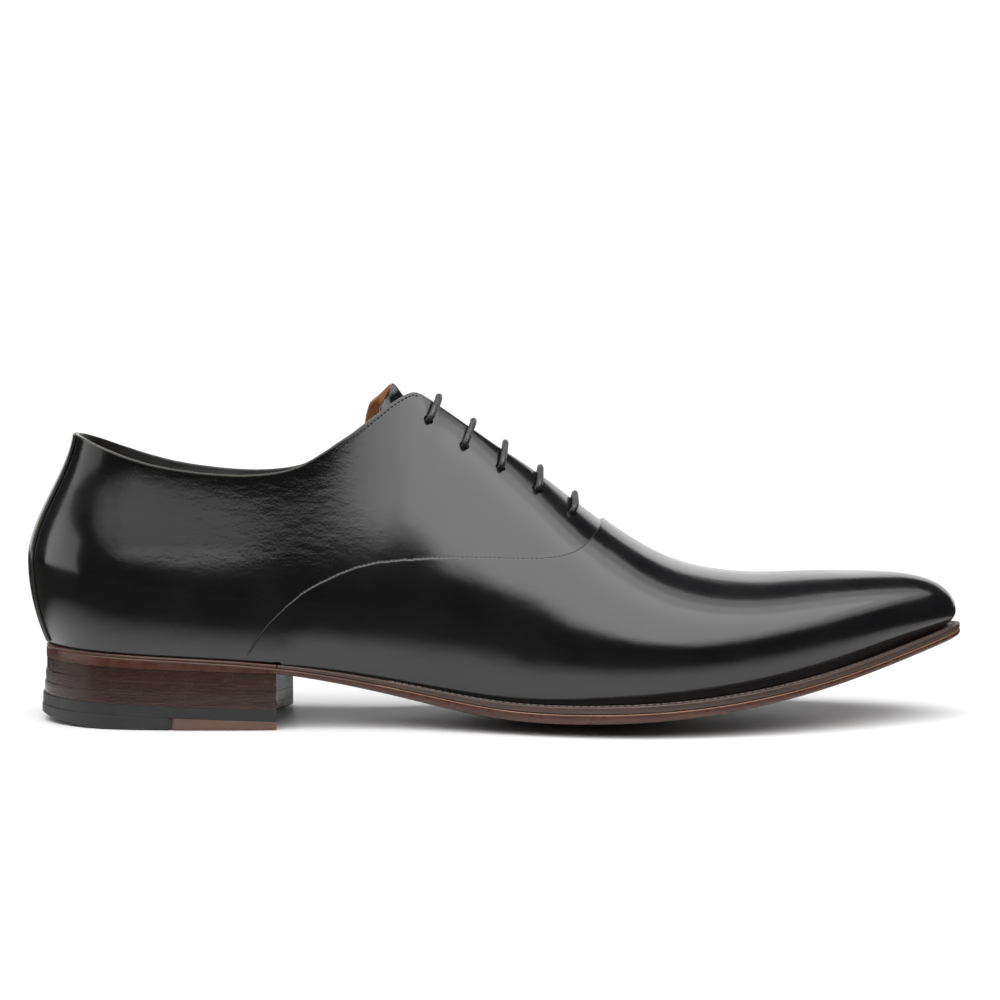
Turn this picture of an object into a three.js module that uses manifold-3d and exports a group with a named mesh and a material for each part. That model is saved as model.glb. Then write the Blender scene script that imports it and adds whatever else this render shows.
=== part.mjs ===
// Leather oxford shoe, right foot. Millimetres, +Z up, +X to the toe, +Y to the medial side.
// The upper is a set of leather shells around one last surface. That surface is made of ribs:
// each rib starts in plan from a spine above the insole and ends at the sole edge.
import * as THREE from 'three';
import { mergeVertices } from 'three/addons/utils/BufferGeometryUtils.js';
import Module from 'manifold-3d';

const wasm = await Module();
wasm.setup();

// ---------- driving dimensions ----------
const GAP = 0.3;                 // clearance between neighbouring pieces
const UPRIGHT = 0.9;             // how upright the walls stand at the topline behind the facings, 0 to 1
const SHELL_GAP = 0.8;          // clearance between the outer leather and the lining
const UPPER = 1.2;               // leather of the vamp and quarters
const LINING = 1.0;              // lining leather
const COUNTER = 1.4;             // heel counter board
const PUFF = 1.0;                // toe puff
const STAY = 0.6;                // facing stay
const SEAM_LAP = 8;              // the vamp laps over the quarters by this much
const MARGIN = 10;               // lasting margin turned in under the insole
const INSOLE = 2.5;
const INSOLE_INSET = 8.6;        // the insole stands back from the featherline by the shells' thickness
const SOCK = 0.8;
const BREAST_X = -70;            // heel breast at the sole edge
const BREAST_DEPTH = 6;          // hollow of the heel breast
const HEEL_POLE_X = -112;        // the ribs fan out from here around the heel
const TOE_POLE_X = 122;          // and from here around the toe
const THROAT_X = 34;             // front end of the facings
const LINING_END_X = 30;         // front end of the quarter linings
const CORNER_X = -26.5;          // top front corner of the quarters
const VAMP_TAIL_X = -79.4;       // rear end of the vamp at the featherline
const LACE_R = 1.05;
const EYELET_HOLE_R = 1.8;
const EYELET_STATIONS = [[-21.9, 99.4], [-10.2, 90.9], [1.7, 83.8], [13.6, 76.7], [25.1, 69.3]];
const TONGUE_TIP_X = -32.5;
const TONGUE_ROOT_X = 42;
const NAIL_R = 0.9;
const HEEL_HALF_WIDTH = 32.3;    // of the heel at the breast
const HEEL_MIDDLE_Y = 0.3;
const RIM_INSET = 0.2;           // the heel layers stand back from the sole edge by this much
const FAR = 1000;                // stands for a distance to an edge that isn't there

// Sole edge in plan, from the heel back along the lateral side to the toe and back again.
const SOLE_EDGE = [
  [-150, 1], [-143, -17], [-128, -28.5], [-105, -33], [-70, -32.5], [-35, -32], [5, -44], [40, -52],
  [70, -49.5], [100, -39.5], [125, -26.5], [142, -14.5], [152.5, -4], [156.5, 6], [152.5, 17], [142, 27.5],
  [128, 35], [108, 41.8], [80, 49.5], [55, 52], [30, 48.5], [5, 38], [-25, 29], [-55, 28.5], [-80, 31.5],
  [-105, 34], [-128, 29.5], [-143, 18],
];
// Profiles along the shoe, as pairs of x and value.
const SPINE_Y = [[-112, 1], [0, 1], [60, 3], [122, 6]];
const EDGE_TOP_Z = [
  [-150, 25.3], [-101, 23.1], [-70, 20.9], [-30, 14.9], [4, 10.1], [30, 9.7], [61, 11.3], [84, 14.1],
  [112, 19.7], [144, 28.2], [156, 31.2],
];
const EDGE_THICKNESS = [[-150, 3.8], [-110, 3], [-70, 3], [-30, 4.4], [30, 5.4], [100, 4.5], [156, 3.9]];
const WELT_THICKNESS = [[-150, 1], [-70, 1.1], [-30, 1.8], [30, 2.3], [156, 1.9]];
const SOLE_CAMBER = [[-150, 0], [-70, 0.2], [-30, 2.6], [30, 4.2], [84, 3.4], [156, 1]];
const WELT_EXTENSION = [[-150, 1], [-70, 1.5], [-30, 2], [10, 3.5], [60, 5], [156, 4.5]];
const BULGE = [[-150, 5.9], [-110, 3.2], [-30, 2], [60, 2.8], [156, 3]];
const BULGE_Z = [
  [-150, 53], [-110, 46], [-70, 40], [-30, 33], [10, 27], [60, 25], [100, 29], [130, 33], [156, 35],
];
const FULLNESS = [
  [-150, 1], [-60, 1], [-26, 1.15], [0, 1.25], [34, 1.7], [60, 2], [100, 2.3], [156, 3.2],
];
const TOPLINE_Z = [
  [-140.5, 95.2], [-126.8, 89.9], [-111.6, 85.2], [-97.2, 82.8], [-83.2, 81.8], [-72.7, 82.4],
  [-62.2, 85.2], [-53.3, 90.6], [-43.7, 97.4], [-35, 104.5], [-26.5, 110.6],
];
const RIDGE_Z = [
  [-26.5, 109.8], [-9.5, 97.7], [12, 82.9], [34, 66.5], [50, 56.6], [68, 50.2], [87, 47.9], [105, 48.2],
  [125, 48],
];
const OPENING_HALF = [
  [-150, 27.6], [-112, 25.5], [-80, 26], [-60, 24], [-45, 17], [-35, 9.5], [-27, 5.5], [0, 4.5], [34, 2.4],
];
const VAMP_SEAM_Z = [
  [-79.4, 25], [-75.5, 31], [-70, 37.2], [-63, 43.4], [-54.7, 48.2], [-43, 52.8], [-30, 54.8], [0, 55.6],
  [16.3, 55.5], [22.6, 56.4], [28.5, 59], [33.2, 63.2],
];

// ---------- curves ----------
function spline(points) {
  const last = points.length - 1;
  const second = new Array(last + 1).fill(0);
  const work = new Array(last + 1).fill(0);
  for (let i = 1; i < last; i += 1) {
    const [x0, y0] = points[i - 1];
    const [x1, y1] = points[i];
    const [x2, y2] = points[i + 1];
    const ratio = (x1 - x0) / (x2 - x0);
    const pivot = ratio * second[i - 1] + 2;
    const bend = (y2 - y1) / (x2 - x1) - (y1 - y0) / (x1 - x0);
    second[i] = (ratio - 1) / pivot;
    work[i] = ((6 * bend) / (x2 - x0) - ratio * work[i - 1]) / pivot;
  }
  second[last] = 0;
  for (let i = last - 1; i >= 0; i -= 1) second[i] = second[i] * second[i + 1] + work[i];
  second[0] = 0;
  const inside = (x) => {
    let i = 0;
    while (i < last - 1 && x > points[i + 1][0]) i += 1;
    const [x0, y0] = points[i];
    const [x1, y1] = points[i + 1];
    const h = x1 - x0;
    const a = (x1 - x) / h;
    const b = (x - x0) / h;
    return a * y0 + b * y1 + (((a ** 3 - a) * second[i] + (b ** 3 - b) * second[i + 1]) * h * h) / 6;
  };
  const first = points[0][0];
  const end = points[last][0];
  const step = 0.01;
  return (x) => {
    if (x < first) return inside(first) + ((inside(first + step) - inside(first)) / step) * (x - first);
    if (x > end) return inside(end) + ((inside(end) - inside(end - step)) / step) * (x - end);
    return inside(x);
  };
}

const spineY = spline(SPINE_Y);
const edgeTop = spline(EDGE_TOP_Z);
const edgeThickness = spline(EDGE_THICKNESS);
const weltThickness = spline(WELT_THICKNESS);
const camberAt = spline(SOLE_CAMBER);
const weltExtension = spline(WELT_EXTENSION);
const bulgeOut = spline(BULGE);
const bulgeZ = spline(BULGE_Z);
const fullness = spline(FULLNESS);
const toplineZ = spline(TOPLINE_Z);
const ridgeZ = spline(RIDGE_Z);
const openingHalf = spline(OPENING_HALF);
const vampSeamZ = spline(VAMP_SEAM_Z);

const smooth = (lo, hi, x) => {
  const t = Math.min(1, Math.max(0, (x - lo) / (hi - lo)));
  return t * t * (3 - 2 * t);
};

// The sole edge as a dense polygon, by a spline through its points repeated three times round.
function closedOutline(points, samples) {
  const around = [...points, ...points, ...points, points[0]];
  const xs = [];
  const ys = [];
  let length = 0;
  around.forEach(([x, y], i) => {
    if (i > 0) length += Math.hypot(x - around[i - 1][0], y - around[i - 1][1]);
    xs.push([length, x]);
    ys.push([length, y]);
  });
  const start = xs[points.length][0];
  const span = xs[2 * points.length][0] - start;
  const fx = spline(xs);
  const fy = spline(ys);
  return Array.from({ length: samples }, (_, i) => {
    const at = start + (span * i) / samples;
    return [fx(at), fy(at)];
  });
}
const soleEdge = closedOutline(SOLE_EDGE, 480);

function reach(ox, oy, dx, dy) {
  let best = 0;
  soleEdge.forEach(([ax, ay], i) => {
    const [bx, by] = soleEdge[(i + 1) % soleEdge.length];
    const ex = bx - ax;
    const ey = by - ay;
    const det = dx * ey - dy * ex;
    if (Math.abs(det) < 1e-9) return;
    const along = ((ax - ox) * ey - (ay - oy) * ex) / det;
    const across = ((ax - ox) * dy - (ay - oy) * dx) / det;
    if (along > 0 && across >= -1e-6 && across <= 1 + 1e-6) best = Math.max(best, along);
  });
  return best;
}

// ---------- ribs of the last surface ----------
function makeRib(ox, dx, dy) {
  const oy = spineY(ox);
  const edge = reach(ox, oy, dx, dy);
  const xw = ox + dx * edge;
  const feather = edge - weltExtension(xw);
  const bulge = feather + bulgeOut(xw);
  const footZ = edgeTop(ox + dx * feather) + GAP;
  return { ox, oy, dx, dy, edge, xw, feather, bulge, footZ, bulgeHeight: bulgeZ(xw) };
}
const straightRib = (x, side) => makeRib(x, 0, side);
const fanRib = (poleX, degrees) => {
  const angle = THREE.MathUtils.degToRad(degrees);
  return makeRib(poleX, Math.cos(angle), Math.sin(angle));
};

function topOf(rib) {
  const opening = rib.ox < THROAT_X;
  const half = opening ? Math.min(openingHalf(rib.xw), rib.bulge - 2) : 0;
  const topX = rib.ox + rib.dx * half;
  const facingZ = topX < CORNER_X ? Infinity : ridgeZ(topX);
  const height = opening ? Math.min(toplineZ(topX), facingZ) : ridgeZ(rib.ox);
  return { half, height };
}

// Height v: -1 at the featherline, 0 at the widest point, 1 at the top edge or ridge.
function ribPoint(rib, v) {
  const { half, height } = topOf(rib);
  let q;
  let z;
  if (v <= 0) {
    q = rib.bulge - (rib.bulge - rib.feather) * v * v;
    z = rib.bulgeHeight + (rib.bulgeHeight - rib.footZ) * v;
  } else {
    const angle = (Math.PI / 2) * Math.min(v, 1);
    const rise = Math.sin(angle);
    const upright = UPRIGHT * (1 - smooth(-62, -24, rib.ox)) * 2 * rise ** 2 * (1 - rise);
    const inward = v >= 1 ? 0 : Math.max(0, Math.cos(angle)) ** (2 / fullness(rib.xw));
    q = half + (rib.bulge - half) * (inward - upright);
    z = rib.bulgeHeight + (height - rib.bulgeHeight) * Math.sin(angle);
  }
  return new THREE.Vector3(rib.ox + rib.dx * q, rib.oy + rib.dy * q, z);
}
function heightToV(rib, z) {
  if (z <= rib.bulgeHeight) return Math.max(-1, (z - rib.bulgeHeight) / (rib.bulgeHeight - rib.footZ));
  const { height } = topOf(rib);
  return (2 / Math.PI) * Math.asin(Math.min(1, (z - rib.bulgeHeight) / (height - rib.bulgeHeight)));
}

const ROW_SHARES = [0, 0.08, 0.27, 0.46, 0.64, 0.78, 0.9, 1];
const FINE = 48;
// Points of one rib between two heights, at fixed shares of its length, with the distance to both ends.
function ribRows(rib, vLow, vHigh) {
  const fine = Array.from({ length: FINE + 1 }, (_, i) => ribPoint(rib, vLow + ((vHigh - vLow) * i) / FINE));
  const run = [0];
  for (let i = 1; i <= FINE; i += 1) run.push(run[i - 1] + fine[i].distanceTo(fine[i - 1]));
  const total = run[FINE];
  const result = [];
  ROW_SHARES.forEach((share) => {
    const goal = total * share;
    let i = 0;
    while (i < FINE - 1 && run[i + 1] < goal) i += 1;
    const t = (goal - run[i]) / Math.max(1e-9, run[i + 1] - run[i]);
    const at = share === 1 ? fine[FINE].clone() : fine[i].clone().lerp(fine[i + 1], t);
    result.push({ at, up: goal, down: total - goal });
  });
  return result;
}
function marginRow(rib, width) {
  const q = rib.feather - width;
  const x = rib.ox + rib.dx * q;
  return { at: new THREE.Vector3(x, rib.oy + rib.dy * q, edgeTop(x) + GAP), up: -width, down: FAR };
}

// ---------- stations round the shoe ----------
const HEEL_ANGLES = [198, 216, 234, 252];
const COUNTER_FRONT_X = -90;
const STATIONS = [
  HEEL_POLE_X, -100, COUNTER_FRONT_X, VAMP_TAIL_X, -75.5, -70, -62, -52, -42, -33, CORNER_X, -15, -3, 9, 20,
  LINING_END_X, THROAT_X - 0.6, THROAT_X, 42, 52, 64, 78, 92, 107, TOE_POLE_X,
];
const TOE_ANGLES = [-72, -54, -36, -18, 0, 18, 36, 54, 72];
const backRib = fanRib(HEEL_POLE_X, 180);
const lateralRibs = [
  ...HEEL_ANGLES.map((a) => fanRib(HEEL_POLE_X, a)),
  ...STATIONS.map((x) => straightRib(x, -1)),
];
const medialRibs = [
  ...[...STATIONS].reverse().map((x) => straightRib(x, 1)),
  ...[...HEEL_ANGLES].reverse().map((a) => fanRib(HEEL_POLE_X, 360 - a)),
];
const toeRibs = TOE_ANGLES.map((a) => fanRib(TOE_POLE_X, a));
const allRibs = [backRib, ...lateralRibs, ...toeRibs, ...medialRibs, backRib];
const seamGapDegrees = 0.4;
const backLateral = { ...fanRib(HEEL_POLE_X, 180 + seamGapDegrees), isSeam: true };
const backMedial = { ...fanRib(HEEL_POLE_X, 180 - seamGapDegrees), isSeam: true };

// ---------- solids ----------
function finish(geometry) {
  geometry.deleteAttribute('normal');
  geometry.deleteAttribute('uv');
  return mergeVertices(geometry, 1e-3);
}

// A sheet given as rows of nodes, one row list per rib, thickened between two surfaces.
// place(node, normal) returns the low and the high position of a node.
function sheetSolid(columns, place) {
  const keys = new Map();
  const nodes = [];
  const indexOf = (node) => {
    const key = node.at.toArray().map((c) => Math.round(c * 200)).join(',');
    if (!keys.has(key)) {
      keys.set(key, nodes.length);
      nodes.push({ ...node, normal: new THREE.Vector3() });
    }
    return keys.get(key);
  };
  const ids = columns.map((column) => column.map(indexOf));
  const triangles = [];
  const addTriangle = (a, b, c) => {
    if (a !== b && b !== c && c !== a) triangles.push([a, b, c]);
  };
  for (let i = 0; i < ids.length - 1; i += 1) {
    for (let j = 0; j < ids[i].length - 1; j += 1) {
      addTriangle(ids[i][j], ids[i + 1][j], ids[i + 1][j + 1]);
      addTriangle(ids[i][j], ids[i + 1][j + 1], ids[i][j + 1]);
    }
  }
  const edges = new Set();
  triangles.forEach(([a, b, c]) => {
    const normal = new THREE.Vector3().subVectors(nodes[b].at, nodes[a].at)
      .cross(new THREE.Vector3().subVectors(nodes[c].at, nodes[a].at));
    [a, b, c].forEach((k) => nodes[k].normal.add(normal));
    edges.add(`${a},${b}`).add(`${b},${c}`).add(`${c},${a}`);
  });
  const count = nodes.length;
  const low = [];
  const high = [];
  nodes.forEach((node) => {
    if (node.rib?.isSeam) {
      const across = new THREE.Vector3(-node.rib.dy, node.rib.dx, 0);
      node.normal.addScaledVector(across, -node.normal.dot(across));
    }
    const [a, b] = place(node, node.normal.normalize());
    low.push(...a.toArray());
    high.push(...b.toArray());
  });
  const index = [];
  triangles.forEach(([a, b, c]) => index.push(a + count, b + count, c + count, a, c, b));
  edges.forEach((edge) => {
    const [a, b] = edge.split(',').map(Number);
    if (!edges.has(`${b},${a}`)) index.push(a, b, b + count, a, b + count, a + count);
  });
  const geometry = new THREE.BufferGeometry();
  geometry.setAttribute('position', new THREE.Float32BufferAttribute([...low, ...high], 3));
  geometry.setIndex(index);
  return geometry;
}

// A leather shell: the sheet offset inwards between two depths below the last surface.
function shell(columns, depthOf, thickness) {
  return sheetSolid(columns, (node, normal) => {
    const depth = depthOf(node);
    return [
      node.at.clone().addScaledVector(normal, -(depth + thickness)),
      node.at.clone().addScaledVector(normal, -depth),
    ];
  });
}

// A slab in plan. reaches(rib) lists distances along a rib from the outside in, and heights gives
// the low and high surface there.
function slab(ribs, reaches, heights) {
  const columns = ribs.map((rib) => reaches(rib).map((q) => {
    const x = rib.ox + rib.dx * q;
    return { at: new THREE.Vector3(x, rib.oy + rib.dy * q, 0), rib, q };
  }));
  return sheetSolid(columns, (node) => {
    const [zLow, zHigh] = heights(node.rib, node.q, node.at.x);
    const { x, y } = node.at;
    return [new THREE.Vector3(x, y, zLow), new THREE.Vector3(x, y, zHigh)];
  });
}

function toManifold(geometry) {
  const clean = finish(geometry);
  return new wasm.Manifold(new wasm.Mesh({
    numProp: 3,
    vertProperties: new Float32Array(clean.attributes.position.array),
    triVerts: new Uint32Array(clean.index.array),
  }));
}
function cut(geometry, tools) {
  let solid = toManifold(geometry);
  tools.forEach((tool) => {
    solid = solid.subtract(toManifold(tool.clone()));
  });
  const mesh = solid.getMesh();
  const result = new THREE.BufferGeometry();
  result.setAttribute('position', new THREE.Float32BufferAttribute(mesh.vertProperties, 3));
  result.setIndex(Array.from(mesh.triVerts));
  return result;
}

// ---------- assembly ----------
const shoe = new THREE.Group();
const BLACK = { color: 0x141414, roughness: 0.16, metalness: 0 };
const TAN = { color: 0xa9673c, roughness: 0.55, metalness: 0 };
const SOLE = { color: 0x7a4638, roughness: 0.45, metalness: 0 };
const WELT = { color: 0xa9835f, roughness: 0.5, metalness: 0 };
const STACK = { color: 0x46291f, roughness: 0.35, metalness: 0 };
const RUBBER = { color: 0x1b1b1c, roughness: 0.6, metalness: 0 };
const BOARD = { color: 0xc7ad86, roughness: 0.8, metalness: 0 };
const CORK = { color: 0x9b7247, roughness: 0.9, metalness: 0 };
const STEEL = { color: 0x9a9da0, roughness: 0.35, metalness: 1 };
const BRASS = { color: 0xb08d4c, roughness: 0.4, metalness: 1 };

function add(name, geometry, look) {
  const mesh = new THREE.Mesh(geometry, new THREE.MeshStandardMaterial(look));
  mesh.name = name;
  shoe.add(mesh);
  return mesh;
}

// ---------- upper ----------
const BUTT = 1.7;                // half the gap in height between the vamp lining and the quarter linings
const TAIL_END_X = VAMP_TAIL_X + SEAM_LAP;
const VAMP_MARGIN_FROM_X = -69;
const LAP_RISE = UPPER + 1.6 * GAP;
const between = (ribs, from, to) => ribs.filter((rib) => rib.ox >= from - 1e-6 && rib.ox <= to + 1e-6);
const lateralQuarterRibs = [backLateral, ...between(lateralRibs, HEEL_POLE_X, THROAT_X - 0.6)];
const medialQuarterRibs = [...between(medialRibs, HEEL_POLE_X, THROAT_X - 0.6), backMedial];
const vampRibs = [
  ...between(lateralRibs, VAMP_TAIL_X, TOE_POLE_X),
  ...toeRibs,
  ...between(medialRibs, VAMP_TAIL_X, TOE_POLE_X),
];
const seamV = (rib, shift = 0) => (rib.ox >= THROAT_X - 1e-6 ? 1 : heightToV(rib, vampSeamZ(rib.ox) + shift));

// The lining eases off each stiffener over a distance, from the featherline up or the top edge down.
const COUNTER_EDGE = [52, 62];
const STAY_EDGE = [17, 24];
const PUFF_START_X = 108;
const WAIST_END_X = -40;
// Depth that the stiffeners take between the outer leather and the lining.
function stiffenerDepth(node) {
  const { rib } = node;
  if (node.up < 0) return rib.ox < VAMP_MARGIN_FROM_X ? GAP : 0;
  const isHeel = rib.ox <= COUNTER_FRONT_X;
  const isFacing = rib.ox >= CORNER_X && rib.ox < THROAT_X;
  const waist = !isHeel && rib.ox < WAIST_END_X ? 1.5 * GAP : 0;
  const tail = !isHeel && rib.ox < VAMP_MARGIN_FROM_X ? 4 * GAP : 0;
  const heel = isHeel ? (COUNTER + GAP) * (1 - smooth(...COUNTER_EDGE, node.up)) : 0;
  const toe = rib.ox >= PUFF_START_X ? (PUFF + GAP) * (rib.ox >= TOE_POLE_X ? 1 : 0.5) : 0;
  const facing = isFacing ? (STAY + GAP) * (1 - smooth(...STAY_EDGE, node.down)) : 0;
  return Math.max(heel, toe, facing, waist, tail);
}
const liningDepth = (node) => UPPER + SHELL_GAP + stiffenerDepth(node);
const withRib = (rib, rows) => rows.map((row) => ({ ...row, rib }));

// The lap narrows towards the throat.
const LAP_NARROWS = [8, 28];
const lapWidth = (x) => SEAM_LAP * (1 - 0.7 * smooth(...LAP_NARROWS, x));

function quarterColumns(ribs) {
  return ribs.map((rib) => {
    const lapped = rib.ox > TAIL_END_X;
    const wall = ribRows(rib, lapped ? heightToV(rib, vampSeamZ(rib.ox) - lapWidth(rib.ox)) : -1, 1);
    return withRib(rib, [lapped ? wall[0] : marginRow(rib, MARGIN), ...wall]);
  });
}
// The vamp is raised where it lies on the quarters, and eases down to the last surface beyond them.
const THROAT_EASED_X = 61;
const TAIL_EASED_X = -50;
const THROAT_SIDES = [30, 48];
const LAP_EASES = [11, 26];
const TAIL_FOOT = [0, 5];
const lap = (node) => {
  const { rib } = node;
  if (node.up < 0) return 0;
  if (rib.ox < VAMP_MARGIN_FROM_X) return -LAP_RISE;
  const front = 1 - smooth(THROAT_X + 1, THROAT_EASED_X, rib.ox);
  const throat = front * (1 - smooth(...THROAT_SIDES, node.down));
  if (rib.ox >= THROAT_X) return -LAP_RISE * throat;
  const seam = 1 - smooth(...LAP_EASES, node.down);
  const tail = (1 - smooth(VAMP_MARGIN_FROM_X, TAIL_EASED_X, rib.ox)) * smooth(...TAIL_FOOT, node.up);
  return -LAP_RISE * Math.max(seam, tail);
};
function vampColumns(ribs, shift) {
  return ribs.map((rib) => {
    const short = rib.ox < VAMP_MARGIN_FROM_X;
    const wall = ribRows(rib, short ? -0.9 : -1, Math.max(seamV(rib, shift), -0.7));
    return withRib(rib, [short ? wall[0] : marginRow(rib, MARGIN), ...wall]);
  });
}

const sides = [['lateral', -1, lateralQuarterRibs, 0], ['medial', 1, medialQuarterRibs, 1]];

// Eyelets: a seat on the last surface with its outward normal.
const SEAT_STEP = 1;
function seatAt(x, z, side) {
  const rib = straightRib(x, side);
  const v = heightToV(rib, z);
  const at = ribPoint(rib, v);
  const step = 0.01;
  const up = ribPoint(rib, v + step).sub(ribPoint(rib, v - step));
  const near = straightRib(x + SEAT_STEP, side);
  const far = straightRib(x - SEAT_STEP, side);
  const along = ribPoint(near, v).sub(ribPoint(far, v));
  const normal = new THREE.Vector3().crossVectors(along, up).normalize();
  if (normal.z < 0) normal.negate();
  return { at, normal };
}
function alongNormal(geometry, seat) {
  const turn = new THREE.Quaternion().setFromUnitVectors(new THREE.Vector3(0, 1, 0), seat.normal);
  return geometry.clone().applyQuaternion(turn).translate(...seat.at.toArray());
}
const FACING_DEPTH = UPPER + SHELL_GAP + STAY + GAP + LINING;
const PUNCH_LENGTH = 14;
const punch = new THREE.CylinderGeometry(EYELET_HOLE_R, EYELET_HOLE_R, PUNCH_LENGTH, 10);
const wideR = EYELET_HOLE_R + 3 * GAP;
const wideHole = new THREE.CylinderGeometry(wideR, wideR, PUNCH_LENGTH, 8);
const EYELET_WALL = 0.5;
const EYELET_FLANGE = 0.35;
const EYELET_FLANGE_WIDTH = 1.6;
const ringTop = -UPPER - 2 * GAP;
const ringSeat = -FACING_DEPTH - 2 * GAP;
const ringProfile = [
  [EYELET_HOLE_R, ringTop], [EYELET_HOLE_R + EYELET_WALL, ringTop], [EYELET_HOLE_R + EYELET_WALL, ringSeat],
  [EYELET_HOLE_R + EYELET_FLANGE_WIDTH, ringSeat],
  [EYELET_HOLE_R + EYELET_FLANGE_WIDTH, ringSeat - EYELET_FLANGE],
  [EYELET_HOLE_R, ringSeat - EYELET_FLANGE], [EYELET_HOLE_R, ringTop],
];
const ring = new THREE.LatheGeometry(ringProfile.reverse().map(([r, y]) => new THREE.Vector2(r, y)), 8);

sides.forEach(([side, sign, ribs]) => {
  const seats = EYELET_STATIONS.map(([x, z]) => seatAt(x, z, sign));
  const punches = seats.map((seat) => alongNormal(punch, seat));
  const wides = seats.map((seat) => alongNormal(wideHole, seat));
  const columns = quarterColumns(ribs);
  add(`quarter_${side}`, cut(shell(columns, () => 0, UPPER), punches), BLACK);

  const liningColumns = ribs.filter((rib) => rib.ox <= LINING_END_X).map((rib) => {
    const full = rib.ox < TAIL_END_X;
    const wall = ribRows(rib, full ? -1 : seamV(rib, BUTT), 1);
    return withRib(rib, [full ? marginRow(rib, MARGIN - 1) : wall[0], ...wall]);
  });
  add(`quarter_lining_${side}`, cut(shell(liningColumns, liningDepth, LINING), wides), TAN);

  const stayColumns = columns.filter(([{ rib }]) => rib.ox >= CORNER_X).map((column) => column.slice(-3));
  add(`facing_stay_${side}`, cut(shell(stayColumns, () => UPPER + GAP, STAY), wides), BOARD);
  seats.forEach((seat, i) => add(`eyelet_${side}_${i + 1}`, alongNormal(ring, seat), BRASS));
});

add('vamp', shell(vampColumns(vampRibs, 0), lap, UPPER), BLACK);
const vampLiningRibs = vampRibs.filter((rib) => rib.ox > TAIL_END_X);
add('vamp_lining', shell(vampColumns(vampLiningRibs, -BUTT), liningDepth, LINING), TAN);

const wallOf = (rib) => withRib(rib, ribRows(rib, -1, 1));
const puffColumns = toeRibs.map((rib) => wallOf(rib).slice(1, -1));
add('toe_puff', shell(puffColumns, () => UPPER + 2 * GAP, PUFF), BOARD);

const besideHeel = (rib) => rib.ox <= COUNTER_FRONT_X;
const counterRibs = [...medialRibs.filter(besideHeel), backRib, ...lateralRibs.filter(besideHeel)];
const counterColumns = counterRibs.map((rib) => wallOf(rib).slice(1, 5));
add('heel_counter', shell(counterColumns, () => UPPER + GAP, COUNTER), BOARD);

const STRIP = { angles: [162, 171, 180, 189, 198], thickness: 0.8 };
const stripColumns = STRIP.angles.map((a) => wallOf(fanRib(HEEL_POLE_X, a)).slice(1));
add('back_strip', shell(stripColumns, () => -STRIP.thickness - GAP, STRIP.thickness), BLACK);

// ---------- tongue ----------
// The tongue follows the facings from inside, and bridges the gap between them. Beyond the facings
// it rises out of them, and its end is cut square to its own slope, so that its wings lie further back.
const TONGUE_ROWS = 8;
const TONGUE_STATIONS = [TONGUE_ROOT_X, 31, 20, 9, -3, -15, CORNER_X, TONGUE_TIP_X];
const TONGUE_SLANT = 0.62;       // how far the wings run back for each millimetre that they drop
const TONGUE_HALF_ROOF = 5.5;
const TONGUE_ROUND = 1.6;        // radius of its back, as a share of the opening's half width
const TONGUE_RISE = 1.6;         // of the middle of the free end
const TONGUE_FLAT = 2;           // half width of its middle, which lies higher than the wings
const WING_FROM = 7;             // the wings lie at their full depth from here outwards
const WING_SOFT = 5;             // and from so much further out at the free end
const LACE_UNDER = FACING_DEPTH + 2 * GAP + EYELET_FLANGE + GAP + LACE_R;
const UNDER_LACE = LACE_UNDER + LACE_R + 2 * GAP;
const tongueHalf = spline([[-37, 13.5], [-27, 19.5], [-11, 23], [16, 20], [TONGUE_ROOT_X, 14]]);
function tongueHeight(x, q, side) {
  const rib = straightRib(x, side);
  const round = TONGUE_ROUND * Math.min(openingHalf(Math.max(x, CORNER_X)), TONGUE_HALF_ROOF);
  const across = Math.min(1, (Math.hypot(q, round) - round) / (Math.hypot(rib.bulge, round) - round));
  return rib.bulgeHeight + (ridgeZ(x) - rib.bulgeHeight) * Math.sqrt(1 - across ** fullness(x));
}
function tonguePoint(x, y) {
  const q = Math.abs(y);
  const side = y < 0 ? -1 : 1;
  const drop = ridgeZ(x) - tongueHeight(x, q, side);
  const back = x - TONGUE_SLANT * drop * (1 - smooth(TONGUE_TIP_X, 0, x));
  return { at: new THREE.Vector3(back, spineY(x) + y, tongueHeight(back, q, side)), q, x };
}
function tongueColumns() {
  return [...TONGUE_STATIONS].reverse().map((x) => Array.from({ length: TONGUE_ROWS + 1 }, (_, k) => (
    tonguePoint(x, tongueHalf(x) * ((2 * k) / TONGUE_ROWS - 1))
  )));
}
const tongueDepth = (node) => {
  const crown = FACING_DEPTH + 1;
  const free = 1 - smooth(TONGUE_TIP_X, CORNER_X, node.x);
  const wing = smooth(TONGUE_FLAT, WING_FROM + WING_SOFT * free, node.q);
  return crown + (UNDER_LACE - crown) * wing - TONGUE_RISE * free * (1 - wing);
};
add('tongue', shell(tongueColumns(), tongueDepth, UPPER), BLACK);
add('tongue_lining', shell(tongueColumns(), (node) => tongueDepth(node) + UPPER + GAP, SOCK), TAN);

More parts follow.
